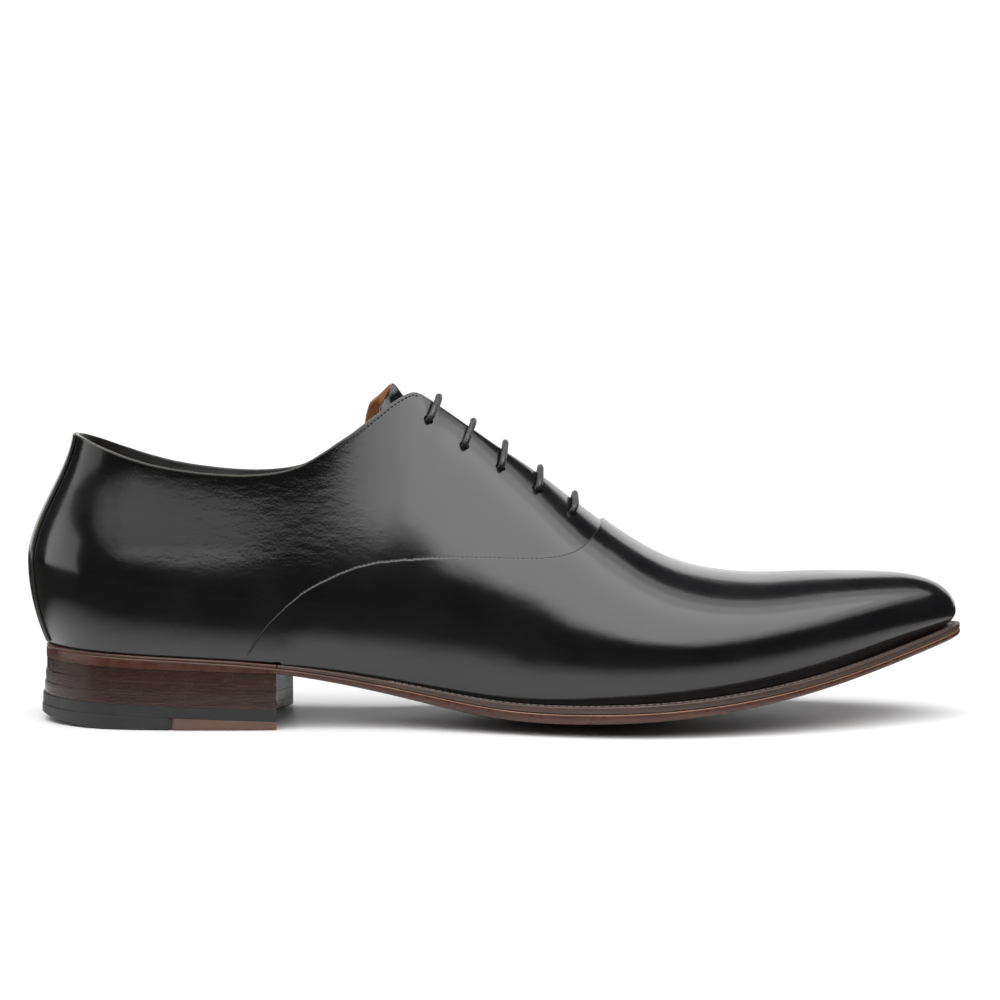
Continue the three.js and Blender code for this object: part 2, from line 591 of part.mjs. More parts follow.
// ---------- lace ----------
// One round lace: a straight bar over the facings in each row, and runs behind them between the rows.
const BAR_HALF = 5.5;            // the straight middle of a bar, either side of the spine
const BAR_CLEARANCE = 1.5;
const BAR_LEAN = [3, 2.8, 1.6, 1.4, 1.5];   // how far each bar lies in front of its holes
const BAR_SLOPE = 0.12;
const MID_HOLE = 2;              // depth of the lace's middle point in a hole
const LACE_OVER = LACE_R + 0.5;
const LACE_STEPS = 100;
function laceRoute() {
  const seatPair = EYELET_STATIONS.map(([x, z]) => ({ [-1]: seatAt(x, z, -1), [1]: seatAt(x, z, 1) }));
  const under = -LACE_UNDER;
  const off = (seat, depth) => seat.at.clone().addScaledVector(seat.normal, depth);
  const points = [];
  let side = -1;
  [4, 3, 2, 1, 0].forEach((row, step) => {
    const from = seatPair[row][side];
    const to = seatPair[row][-side];
    const [x] = EYELET_STATIONS[row];
    const barX = x + BAR_LEAN[row];
    const crown = ridgeZ(barX) + LACE_R + BAR_CLEARANCE;
    const bridge = (y) => new THREE.Vector3(barX, spineY(x) + side * y, crown - Math.abs(y) * BAR_SLOPE);
    points.push(off(from, under), off(from, -MID_HOLE), off(from, LACE_OVER));
    points.push(bridge(BAR_HALF), bridge(0), bridge(-BAR_HALF));
    points.push(off(to, LACE_OVER), off(to, -MID_HOLE), off(to, under));
    if (step < 4) {
      const next = seatPair[row - 1][-side];
      points.push(off(to, under).lerp(off(next, under), 0.5));
    }
    side = -side;
  });
  return points;
}
const laceCurve = new THREE.CatmullRomCurve3(laceRoute(), false, 'centripetal');
const LACE_SIDES = 6;
const laceSection = new THREE.Shape(Array.from({ length: LACE_SIDES }, (_, i) => {
  const angle = (i * 2 * Math.PI) / LACE_SIDES;
  return new THREE.Vector2(LACE_R * Math.cos(angle), LACE_R * Math.sin(angle));
}));
const laceSweep = { steps: LACE_STEPS, extrudePath: laceCurve, bevelEnabled: false };
add('lace', new THREE.ExtrudeGeometry(laceSection, laceSweep), BLACK);

// ---------- bottom ----------
const camber = (rib, q, x) => camberAt(x) * (1 - (q / rib.edge) ** 2);
const outsoleTop = (rib, q, x) => edgeTop(x) - weltThickness(x) - 1.3 * GAP - camber(rib, q, x);
const outsoleBottom = (rib, q, x) => edgeTop(x) - edgeThickness(x) - camber(rib, q, x);
const insoleBase = (x) => edgeTop(x) + GAP + UPPER + SHELL_GAP + LINING + 2 * GAP;
const ringReaches = (rib) => [rib.edge, rib.feather, rib.feather - MARGIN];
const ringHeights = (rib, q, x) => [edgeTop(x) - weltThickness(x), edgeTop(x)];
const innerReaches = (rib) => [rib.feather - MARGIN, (rib.feather - MARGIN) / 2, 0];
const soleReaches = (rib) => [rib.edge, rib.feather, ...innerReaches(rib)];
const insoleReaches = (rib) => {
  const outer = rib.feather - INSOLE_INSET;
  return [outer, outer / 2, 0];
};

const soleHeights = (rib, q, x) => [outsoleBottom(rib, q, x), outsoleTop(rib, q, x)];
add('outsole', slab(allRibs, soleReaches, soleHeights), SOLE);
const forwardRibs = allRibs.filter((rib) => rib.ox >= BREAST_X - 1e-6);
const aboveHeel = (rib) => rib.ox < BREAST_X - 1;
const rearRibs = [...medialRibs.filter(aboveHeel), backRib, ...lateralRibs.filter(aboveHeel)];
add('welt', slab(forwardRibs, ringReaches, ringHeights), WELT);
add('heel_rand', slab(rearRibs, ringReaches, ringHeights), WELT);
add('insole', slab(allRibs, insoleReaches, (rib, q, x) => [insoleBase(x), insoleBase(x) + INSOLE]), BOARD);
add('sock_lining', slab(allRibs, insoleReaches, (rib, q, x) => {
  const low = insoleBase(x) + INSOLE + GAP;
  return [low, low + SOCK];
}), TAN);
const CORK_FROM_X = 9;
const corkRibs = allRibs.filter((rib) => rib.ox >= CORK_FROM_X);
const corkReaches = (rib) => innerReaches(rib).map((q) => Math.max(0, q - 1));
const corkHeights = (rib, q, x) => [outsoleTop(rib, q, x) + GAP, insoleBase(x) - GAP];
add('cork_filler', slab(corkRibs, corkReaches, corkHeights), CORK);

const SHANK = { from: -92, to: 2, half: 7, thickness: 1.2, steps: 12, rise: 1.8 };
const shankColumns = [SHANK.half, -SHANK.half].map((y) => Array.from({ length: SHANK.steps + 1 }, (_, k) => {
  const x = SHANK.from + ((SHANK.to - SHANK.from) * k) / SHANK.steps;
  return { at: new THREE.Vector3(x, spineY(x) + y, edgeTop(x) + SHANK.rise) };
}));
add('shank', shell(shankColumns, () => 0, SHANK.thickness), STEEL);

// ---------- heel ----------
const HEEL_LAYERS = [17.9, 14, 10.1, 6.2, 2.6];       // interfaces at the breast, from the top down
const HEEL_TILT = 2.7 / 80;                             // the layers rise towards the back
const layerZ = (k, x) => HEEL_LAYERS[k] + HEEL_TILT * (BREAST_X - x);
const nailPlaces = [[-138, 1], [-122, -19], [-122, 20], [-94, -20], [-94, 21]];

// The plan of a heel layer: the sole edge round the back, flared backwards, and the hollow breast.
const FLARE_LENGTH = 38;
function heelRim(flare) {
  return rearRibs.map((rib) => {
    const q = rib.edge - RIM_INSET;
    const x = rib.ox + rib.dx * q;
    const out = Math.max(0, (HEEL_POLE_X - x) / FLARE_LENGTH) * flare;
    return new THREE.Vector2(x - out, rib.oy + rib.dy * q);
  });
}
// A parabola across the heel from the lateral to the medial side, its middle moved along X by depth.
function crossArc(x, half, depth, count) {
  return Array.from({ length: count + 1 }, (_, k) => {
    const y = -half + (2 * half * k) / count;
    return new THREE.Vector2(x + depth * (1 - (y / half) ** 2), y + HEEL_MIDDLE_Y);
  });
}
const breastArc = () => crossArc(BREAST_X, HEEL_HALF_WIDTH, -BREAST_DEPTH, 8);
const heelPlan = (flare) => [...heelRim(flare), ...breastArc()];
const nailHole = (x, y) => Array.from({ length: 7 }, (_, k) => {
  const angle = (-k * Math.PI) / 3;
  const r = NAIL_R + 2 * GAP;
  return new THREE.Vector2(x + r * Math.cos(angle), y + r * Math.sin(angle));
});
function layerSolid(points, zLow, zHigh, holes = true) {
  const shape = new THREE.Shape(points);
  if (holes) {
    nailPlaces.forEach(([x, y]) => {
      const hole = new THREE.Path();
      hole.setFromPoints(nailHole(x, y));
      shape.holes.push(hole);
    });
  }
  const geometry = new THREE.ExtrudeGeometry(shape, { depth: 1, steps: 1, bevelEnabled: false });
  const position = geometry.attributes.position;
  for (let i = 0; i < position.count; i += 1) {
    const x = position.getX(i);
    position.setZ(i, position.getZ(i) > 0.5 ? zHigh(x) : zLow(x));
  }
  return finish(geometry);
}
const layerBetween = (k) => [(x) => layerZ(k + 1, x) + GAP / 2, (x) => layerZ(k, x) - GAP / 2];
const LAYER_FLARES = [0, 0.5, 1, 1.5];
LAYER_FLARES.forEach((flare, k) => {
  const isRubber = k === LAYER_FLARES.length - 1;
  const name = isRubber ? 'rubber_lift' : `heel_lift_${k + 1}`;
  add(name, layerSolid(heelPlan(flare), ...layerBetween(k)), isRubber ? RUBBER : STACK);
});

// The top piece: rubber behind a curved joint, leather in front of it, both flat on the ground.
const TOP_PIECE_FLARE = 1.8;
const JOINT_X = -104;
const JOINT_DEPTH = 12;
const JOINT_HALF_WIDTH = 32.6;
const ROLL_OFF_X = -132;         // behind this the rubber is bevelled up from the ground
const ROLL_OFF_ANGLE = 0.13;
const BEVEL_TOOL = [60, 90, 10];
const jointArc = (inset) => crossArc(JOINT_X + inset, JOINT_HALF_WIDTH, JOINT_DEPTH, 10);
const rearRim = heelPlan(TOP_PIECE_FLARE).filter((p) => p.x < JOINT_X - 1);
const frontRim = heelRim(0).filter((p) => p.x > JOINT_X + 1 && p.x < BREAST_X - 1);
const frontOn = (side) => frontRim.filter((p) => Math.sign(p.y) === side);
const bevelTool = new THREE.BoxGeometry(...BEVEL_TOOL).translate(-BEVEL_TOOL[0] / 2, 0, -BEVEL_TOOL[2] / 2)
  .applyMatrix4(new THREE.Matrix4().makeRotationY(ROLL_OFF_ANGLE)).translate(ROLL_OFF_X, 0, 0);
const groundTop = (x) => layerZ(4, x) - GAP / 2;
const flat = () => 0;
const rubberPlan = [...rearRim, ...jointArc(0)];
const leatherPlan = [...jointArc(GAP).reverse(), ...frontOn(-1), ...breastArc(), ...frontOn(1)];
add('top_piece_rubber', cut(layerSolid(rubberPlan, flat, groundTop, false), [bevelTool]), RUBBER);
add('top_piece_leather', layerSolid(leatherPlan, flat, groundTop, false), WELT);

nailPlaces.forEach(([x, y], i) => {
  const low = layerZ(4, x) + GAP;
  const high = layerZ(0, x) - GAP;
  const nail = new THREE.CylinderGeometry(NAIL_R, NAIL_R, high - low, 6).rotateX(Math.PI / 2);
  const mesh = add(`heel_nail_${i + 1}`, nail, STEEL);
  mesh.position.set(x, y, (low + high) / 2);
});

export default shoe;
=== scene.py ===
import math

import bpy
import numpy as np
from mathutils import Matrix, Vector
from mathutils.bvhtree import BVHTree


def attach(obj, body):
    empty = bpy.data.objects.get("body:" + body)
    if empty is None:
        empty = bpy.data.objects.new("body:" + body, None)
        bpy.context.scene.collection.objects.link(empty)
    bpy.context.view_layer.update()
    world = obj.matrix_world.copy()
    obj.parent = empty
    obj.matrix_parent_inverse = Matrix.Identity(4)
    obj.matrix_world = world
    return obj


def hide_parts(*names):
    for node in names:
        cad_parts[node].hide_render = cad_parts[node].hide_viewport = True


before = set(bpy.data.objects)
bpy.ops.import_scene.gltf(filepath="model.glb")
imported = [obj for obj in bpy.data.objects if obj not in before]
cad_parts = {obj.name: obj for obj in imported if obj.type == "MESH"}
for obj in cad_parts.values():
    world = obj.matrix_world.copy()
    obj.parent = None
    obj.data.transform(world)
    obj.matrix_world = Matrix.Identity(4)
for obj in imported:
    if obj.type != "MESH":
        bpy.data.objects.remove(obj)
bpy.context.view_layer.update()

MM = 0.001

# ---------- dimensions ----------
UPPER = 1.2
LINING = 1.0
LINING_DEPTH = 2.0
COUNTER_ROOM = 1.7
STAY_ROOM = 0.9
LAP_RISE = 1.15
SEAM_LAP = 8.0
MARGIN = 8.0
CLEAR = 0.3
HEEL_POLE = -112.0
TOE_POLE = 122.0
THROAT = 34.0
OPENING_END = 30
OPENING_CLOSES = (12, 46)
CORNER = -26.5
TAIL = -79.4
BREAST = -70.0
BREAST_DEPTH = 6.0
LACE_R = 1.05
EYELET_R = 1.75
UPRIGHT = 0.9
CROWN_SHIFT = [3.0, 2.8, 1.6, 1.4, 1.5]
EYELETS = [(-21.9, 99.4), (-10.2, 90.9), (1.7, 83.8), (13.6, 76.7), (25.1, 69.3)]

SOLE_EDGE = [
    (-150, 1), (-143, -17), (-128, -28.5), (-105, -33), (-70, -32.5), (-35, -32), (5, -44), (40, -52),
    (70, -49.5), (100, -39.5), (125, -26.5), (142, -14.5), (152.5, -4), (156.5, 6), (152.5, 17),
    (142, 27.5), (128, 35), (108, 41.8), (80, 49.5), (55, 52), (30, 48.5), (5, 38), (-25, 29),
    (-55, 28.5), (-80, 31.5), (-105, 34), (-128, 29.5), (-143, 18),
]


# ---------- curves ----------
class Spline:
    """A natural cubic through (x, value) pairs that runs on straight past both ends."""

    def __init__(self, points):
        self.x = np.array([p[0] for p in points], float)
        self.y = np.array([p[1] for p in points], float)
        count = len(points)
        h = np.diff(self.x)
        system = np.eye(count)
        right = np.zeros(count)
        for i in range(1, count - 1):
            system[i, i - 1:i + 2] = h[i - 1], 2 * (h[i - 1] + h[i]), h[i]
            rise = (self.y[i + 1] - self.y[i]) / h[i] - (self.y[i] - self.y[i - 1]) / h[i - 1]
            right[i] = 6 * rise
        self.m = np.linalg.solve(system, right)
        self.first = (self.y[1] - self.y[0]) / h[0] - h[0] * self.m[1] / 6
        self.last = (self.y[-1] - self.y[-2]) / h[-1] + h[-1] * self.m[-2] / 6

    def __call__(self, at):
        at = np.asarray(at, float)
        held = np.clip(at, self.x[0], self.x[-1])
        i = np.clip(np.searchsorted(self.x, held) - 1, 0, len(self.x) - 2)
        h = self.x[i + 1] - self.x[i]
        a = (self.x[i + 1] - held) / h
        b = (held - self.x[i]) / h
        value = a * self.y[i] + b * self.y[i + 1]
        value = value + ((a ** 3 - a) * self.m[i] + (b ** 3 - b) * self.m[i + 1]) * h * h / 6
        past = at - held
        return value + np.where(past < 0, self.first, self.last) * past


# Profiles along the shoe, as pairs of x and value.
spine_y = Spline([(-112, 1), (0, 1), (60, 3), (122, 6)])
edge_top = Spline([
    (-150, 25.3), (-101, 23.1), (-70, 20.9), (-30, 14.9), (4, 10.1), (30, 9.7), (61, 11.3), (84, 14.1),
    (112, 19.7), (144, 28.2), (156, 31.2),
])
edge_thickness = Spline([(-150, 3.8), (-110, 3), (-70, 3), (-30, 4.4), (30, 5.4), (100, 4.5), (156, 3.9)])
welt_thickness = Spline([(-150, 1), (-70, 1.1), (-30, 1.8), (30, 2.3), (156, 1.9)])
sole_camber = Spline([(-150, 0), (-70, 0.2), (-30, 2.6), (30, 4.2), (84, 3.4), (156, 1)])
welt_extension = Spline([(-150, 1), (-70, 1.5), (-30, 2), (10, 3.5), (60, 5), (156, 4.5)])
bulge_out = Spline([(-150, 5.9), (-110, 3.2), (-30, 2), (60, 2.8), (156, 3)])
bulge_z = Spline([
    (-150, 53), (-110, 46), (-70, 40), (-30, 33), (10, 27), (60, 25), (100, 29), (130, 33), (156, 35),
])
fullness = Spline([(-150, 1), (-60, 1), (-26, 1.15), (0, 1.25), (34, 1.7), (60, 2), (100, 2.3), (156, 3.2)])
topline_z = Spline([
    (-140.5, 95.2), (-126.8, 89.9), (-111.6, 85.2), (-97.2, 82.8), (-83.2, 81.8), (-72.7, 82.4),
    (-62.2, 85.2), (-53.3, 90.6), (-43.7, 97.4), (-35, 104.5), (-26.5, 110.6),
])
ridge_z = Spline([
    (-26.5, 109.8), (-9.5, 97.7), (12, 82.9), (34, 66.5), (50, 56.6), (68, 50.2), (87, 47.9), (105, 48.2),
    (125, 48),
])
last_top_z = Spline([
    (-140.5, 97), (-126.8, 92), (-111.6, 87.2), (-97.2, 84.8), (-83.2, 84.6), (-70, 87.5), (-58, 93),
    (-47, 101), (-37, 108), (-26.5, 111.6), (-17, 103.6), (-8, 96.6), (2, 89.6), (12, 82.9), (34, 66.5),
    (50, 56.6), (68, 50.2), (87, 47.9), (105, 48.2), (125, 48),
])
opening_half = Spline([
    (-150, 27.6), (-112, 25.5), (-80, 26), (-60, 24), (-45, 17), (-35, 9.5), (-27, 5.5), (0, 4.5),
    (20, 3.4), (30, 2.2),
])
vamp_seam_z = Spline([
    (-79.4, 25), (-75.5, 31), (-70, 37.2), (-63, 43.4), (-54.7, 48.2), (-43, 52.8), (-30, 54.8), (0, 55.6),
    (16.3, 55.5), (22.6, 56.4), (28.5, 59), (33.2, 63.2),
])


def smooth(low, high, x):
    t = np.clip((x - low) / (high - low), 0, 1)
    return t * t * (3 - 2 * t)


def lengths(line):
    """Distance along a line of points, from its start to each of them."""
    return np.concatenate([[0], np.cumsum(np.linalg.norm(np.diff(line, axis=0), axis=1))])


def unit(vectors):
    return vectors / np.linalg.norm(vectors, axis=1, keepdims=True)


def closed_outline(points, samples):
    """A closed smooth curve: the spline through three rounds of the points, middle round only."""
    around = np.array(list(points) * 3 + [points[0]], float)
    run = lengths(around)
    fx = Spline(list(zip(run, around[:, 0])))
    fy = Spline(list(zip(run, around[:, 1])))
    at = np.linspace(run[len(points)], run[2 * len(points)], samples, endpoint=False)
    return np.stack([fx(at), fy(at)], 1)


EDGE_LINE = closed_outline(SOLE_EDGE, 1600)


def reach(ox, oy, dx, dy):
    """How far a ray from inside the sole runs before it meets the sole edge."""
    a = EDGE_LINE
    e = np.roll(a, -1, axis=0) - a
    out = np.zeros(len(ox))
    for k in range(len(ox)):
        det = dx[k] * e[:, 1] - dy[k] * e[:, 0]
        det = np.where(np.abs(det) < 1e-9, 1e-9, det)
        along = ((a[:, 0] - ox[k]) * e[:, 1] - (a[:, 1] - oy[k]) * e[:, 0]) / det
        across = ((a[:, 0] - ox[k]) * dy[k] - (a[:, 1] - oy[k]) * dx[k]) / det
        hit = (along > 0) & (across >= -1e-6) & (across <= 1 + 1e-6)
        out[k] = along[hit].max()
    return out


class Ribs:
    """Plan rays from the spine to the sole edge, in order round the shoe, as arrays."""

    def __init__(self, ox, degrees):
        self.ox = np.asarray(ox, float)
        self.degrees = np.asarray(degrees, float)
        angle = np.radians(self.degrees)
        self.dx = np.cos(angle)
        self.dy = np.sin(angle)
        self.oy = spine_y(self.ox)
        self.edge = reach(self.ox, self.oy, self.dx, self.dy)
        self.xw = self.ox + self.dx * self.edge
        self.feather = self.edge - welt_extension(self.xw)
        self.bulge = self.feather + bulge_out(self.xw)
        self.foot = edge_top(self.ox + self.dx * self.feather) + CLEAR
        self.bulge_height = bulge_z(self.xw)
        closing = 1 - smooth(*OPENING_CLOSES, self.ox)
        self.half = np.minimum(opening_half(np.minimum(self.xw, OPENING_END)), self.bulge - 2) * closing
        self.height = last_top_z(self.ox + self.dx * self.half)

    def x_at(self, q):
        return self.ox[:, None] + self.dx[:, None] * q

    def at(self, q, z):
        """Points at a distance from the spine and a height: one on each rib, or a row of them."""
        q = np.asarray(q)
        if q.ndim == 1:
            return np.stack([self.ox + self.dx * q, self.oy + self.dy * q, z], -1)
        y = self.oy[:, None] + self.dy[:, None] * q
        return np.stack([self.x_at(q), y, np.broadcast_to(z, q.shape)], -1)

    def surface(self, v):
        """Points of the last surface: v is -1 at the featherline, 0 at the bulge, 1 at the top."""
        v = np.broadcast_to(v, (len(self.ox), np.shape(v)[-1]))
        bulge, feather = self.bulge[:, None], self.feather[:, None]
        half, height = self.half[:, None], self.height[:, None]
        middle, foot = self.bulge_height[:, None], self.foot[:, None]
        angle = np.clip(v, 0, 1) * math.pi / 2
        inward = np.where(v >= 1, 0, np.clip(np.cos(angle), 0, 1)) ** (2 / fullness(self.xw))[:, None]
        rise = np.sin(angle)
        upright = UPRIGHT * (1 - smooth(-62, -24, self.ox))[:, None]
        inward = inward - 2 * upright * rise ** 2 * (1 - rise)
        upper_q = half + (bulge - half) * inward
        upper_z = middle + (height - middle) * np.sin(angle)
        lower_q = bulge - (bulge - feather) * v * v
        lower_z = middle + (middle - foot) * v
        return self.at(np.where(v <= 0, lower_q, upper_q), np.where(v <= 0, lower_z, upper_z))

    def cut(self, below):
        """The height v where each rib leaves the region in which below(points) is true."""
        v = np.linspace(-1, 1, 801)
        inside = below(self.surface(v))
        first_out = np.where(inside.all(1), len(v) - 1, np.argmin(inside, 1))
        return v[first_out]

    def pick(self, mask):
        mask = np.asarray(mask)
        return Ribs(self.ox[mask], self.degrees[mask])


def toe_path(count):
    """From x = 60 on the lateral side round the toe to x = 60 on the medial side."""
    t = np.linspace(-1, 1, count)
    u = 1 - np.abs(t)
    ox = 60 + (TOE_POLE - 60) * (1 - (1 - u) ** 2)
    return ox, np.sign(t) * (90 - 90 * u ** 3)


def heel_path(count):
    """From x = -75 on the lateral side back to the middle of the heel."""
    u = np.linspace(0, 1, count)
    ox = -75 + (HEEL_POLE + 75) * (1 - (1 - u) ** 2)
    return ox, -90 - 90 * u ** 3


def side_stations():
    """Stations of the straight ribs, close together where an outline crosses them steeply."""
    spans = [(-75, -68, 18), (-68, -30, 26), (-30, 22, 44), (22, 36, 46), (36, 60, 18)]
    return np.concatenate([np.linspace(a, b, n, endpoint=False) for a, b, n in spans])


heel_x, heel_degrees = heel_path(64)
straight_x = side_stations()
side_x = np.concatenate([heel_x[:0:-1], straight_x])
side_degrees = np.concatenate([heel_degrees[:0:-1], np.full(len(straight_x), -90.0)])
LATERAL = Ribs(side_x, side_degrees)
TOE = Ribs(*toe_path(171))
MEDIAL = Ribs(side_x[::-1], -side_degrees[::-1])
SIDES = {"lateral": LATERAL, "medial": MEDIAL}


def join(*parts):
    return Ribs(np.concatenate([p.ox for p in parts]), np.concatenate([p.degrees for p in parts]))


AROUND = join(LATERAL, TOE, MEDIAL)


# ---------- sheets and solids ----------
EDGE_STEPS = np.array([0.0, 0.07, 0.17, 0.32, 0.55, 0.9])
NO_EDGE = 99.0
WELD = 500


def wall(ribs, v_low, v_high, rows, edge=True):
    """Even rows of points up each rib, with a few close rows at the top edge for its rounding."""
    share = np.linspace(0, 1, 161)
    fine = ribs.surface(v_low[:, None] + (v_high - v_low)[:, None] * share)
    step = np.linalg.norm(np.diff(fine, axis=1), axis=2)
    run = np.concatenate([np.zeros((len(fine), 1)), np.cumsum(step, 1)], 1)
    total = run[:, -1]
    band = np.minimum(EDGE_STEPS[-1] + 0.5, 0.4 * total) if edge else 0 * total
    goals = np.linspace(0, 1, rows)[None, :] * (total - band)[:, None]
    if edge:
        close = (EDGE_STEPS[::-1] / EDGE_STEPS[-1])[None, :] * (band - 0.5 * band / 1.4)[:, None]
        goals = np.concatenate([goals, total[:, None] - close], 1)
    points = [[np.interp(goals[i], run[i], fine[i, :, c]) for c in range(3)] for i in range(len(fine))]
    return np.array(points).transpose(0, 2, 1), total[:, None] - goals, goals


def margin(ribs, width):
    """The leather turned in under the insole, from its inner edge out to the featherline."""
    inset = np.array([1.0, 0.6, 0.25, 0.08]) * width
    q = ribs.feather[:, None] - inset
    return ribs.at(q, edge_top(ribs.x_at(q)) + CLEAR)


class Sheet:
    """A welded grid of points with quads and normals."""

    def __init__(self, grid, **fields):
        shape = grid.shape[:2]
        flat = grid.reshape(-1, 3)
        cells = np.round(flat * WELD).astype(np.int64)
        _, first, inverse = np.unique(cells, axis=0, return_index=True, return_inverse=True)
        ids = inverse.reshape(shape)
        self.points = flat[first]
        self.fields = {k: np.broadcast_to(f, shape).reshape(-1)[first] for k, f in fields.items()}
        a, b, c, d = ids[:-1, :-1], ids[1:, :-1], ids[1:, 1:], ids[:-1, 1:]
        self.quads = np.stack([a, b, c, d], -1).reshape(-1, 4)
        self.normals = self.find_normals()

    def find_normals(self):
        p = self.points
        a, b, c, d = (p[self.quads[:, k]] for k in range(4))
        face = np.cross(c - a, d - b)
        out = np.zeros_like(p)
        for k in range(4):
            np.add.at(out, self.quads[:, k], face)
        return out / np.maximum(np.linalg.norm(out, axis=1, keepdims=True), 1e-12)

    def punch(self, centres, radius):
        """Opens round holes, and draws the points round each one onto its circle."""
        for centre in centres:
            away = np.linalg.norm(self.points - centre, axis=1)
            gone = (away[self.quads] < radius * 0.93).any(1)
            ring = np.unique(self.quads[gone])
            ring = ring[away[ring] >= radius * 0.93]
            self.quads = self.quads[~gone]
            ring = ring[away[ring] < radius * 2.6]
            self.points[ring] = centre + (self.points[ring] - centre) / away[ring, None] * radius
        return self

    def faces(self):
        out = []
        for quad in self.quads.tolist():
            face = [v for k, v in enumerate(quad) if v != quad[k - 1]]
            if len(set(face)) == len(face) and len(face) > 2:
                out.append(face)
        return out


def solid(name, sheet, out, inner, material, body="shoe", crease=50, glint_and_tone=None):
    """Thickens a sheet between an outer and an inner offset along its normals."""
    out = np.broadcast_to(out, len(sheet.points))[:, None]
    inner = np.broadcast_to(inner, len(sheet.points))[:, None]
    high = sheet.points + sheet.normals * out
    low = sheet.points + sheet.normals * inner
    faces = sheet.faces()
    count = len(sheet.points)
    edges = set()
    for face in faces:
        edges.update((face[k - 1], face[k]) for k in range(len(face)))
    rims = [(a, b) for a, b in edges if (b, a) not in edges]
    polys = faces + [[v + count for v in reversed(face)] for face in faces]
    polys += [[a, a + count, b + count, b] for a, b in rims]
    if glint_and_tone is not None:
        glint_and_tone = np.concatenate([glint_and_tone, glint_and_tone])
    return make(name, np.concatenate([high, low]), polys, material, body, crease, glint_and_tone)


def make(name, points, faces, material, body="shoe", crease=50, glint_and_tone=None):
    """A mesh object in metres that rides on a body, without unused points."""
    used = sorted({v for face in faces for v in face})
    index = {v: i for i, v in enumerate(used)}
    mesh = bpy.data.meshes.new(name)
    mesh.from_pydata((np.asarray(points)[used] * MM).tolist(), [], [[index[v] for v in f] for f in faces])
    if glint_and_tone is not None:
        values = mesh.attributes.new("glint_and_tone", "FLOAT", "POINT").data
        values.foreach_set("value", glint_and_tone[used].astype(np.float32))
    mesh.validate()
    mesh.shade_smooth()
    mesh.set_sharp_from_angle(angle=math.radians(crease))
    obj = bpy.data.objects.new(name, mesh)
    bpy.context.scene.collection.objects.link(obj)
    mesh.materials.append(material)
    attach(obj, body)
    return obj


def rounded(down, radius):
    """How far an edge's outer face drops where it rolls over, from the distance to the edge."""
    d = np.clip(radius - down, 0, radius)
    return radius - np.sqrt(np.maximum(radius ** 2 - d ** 2, 0))


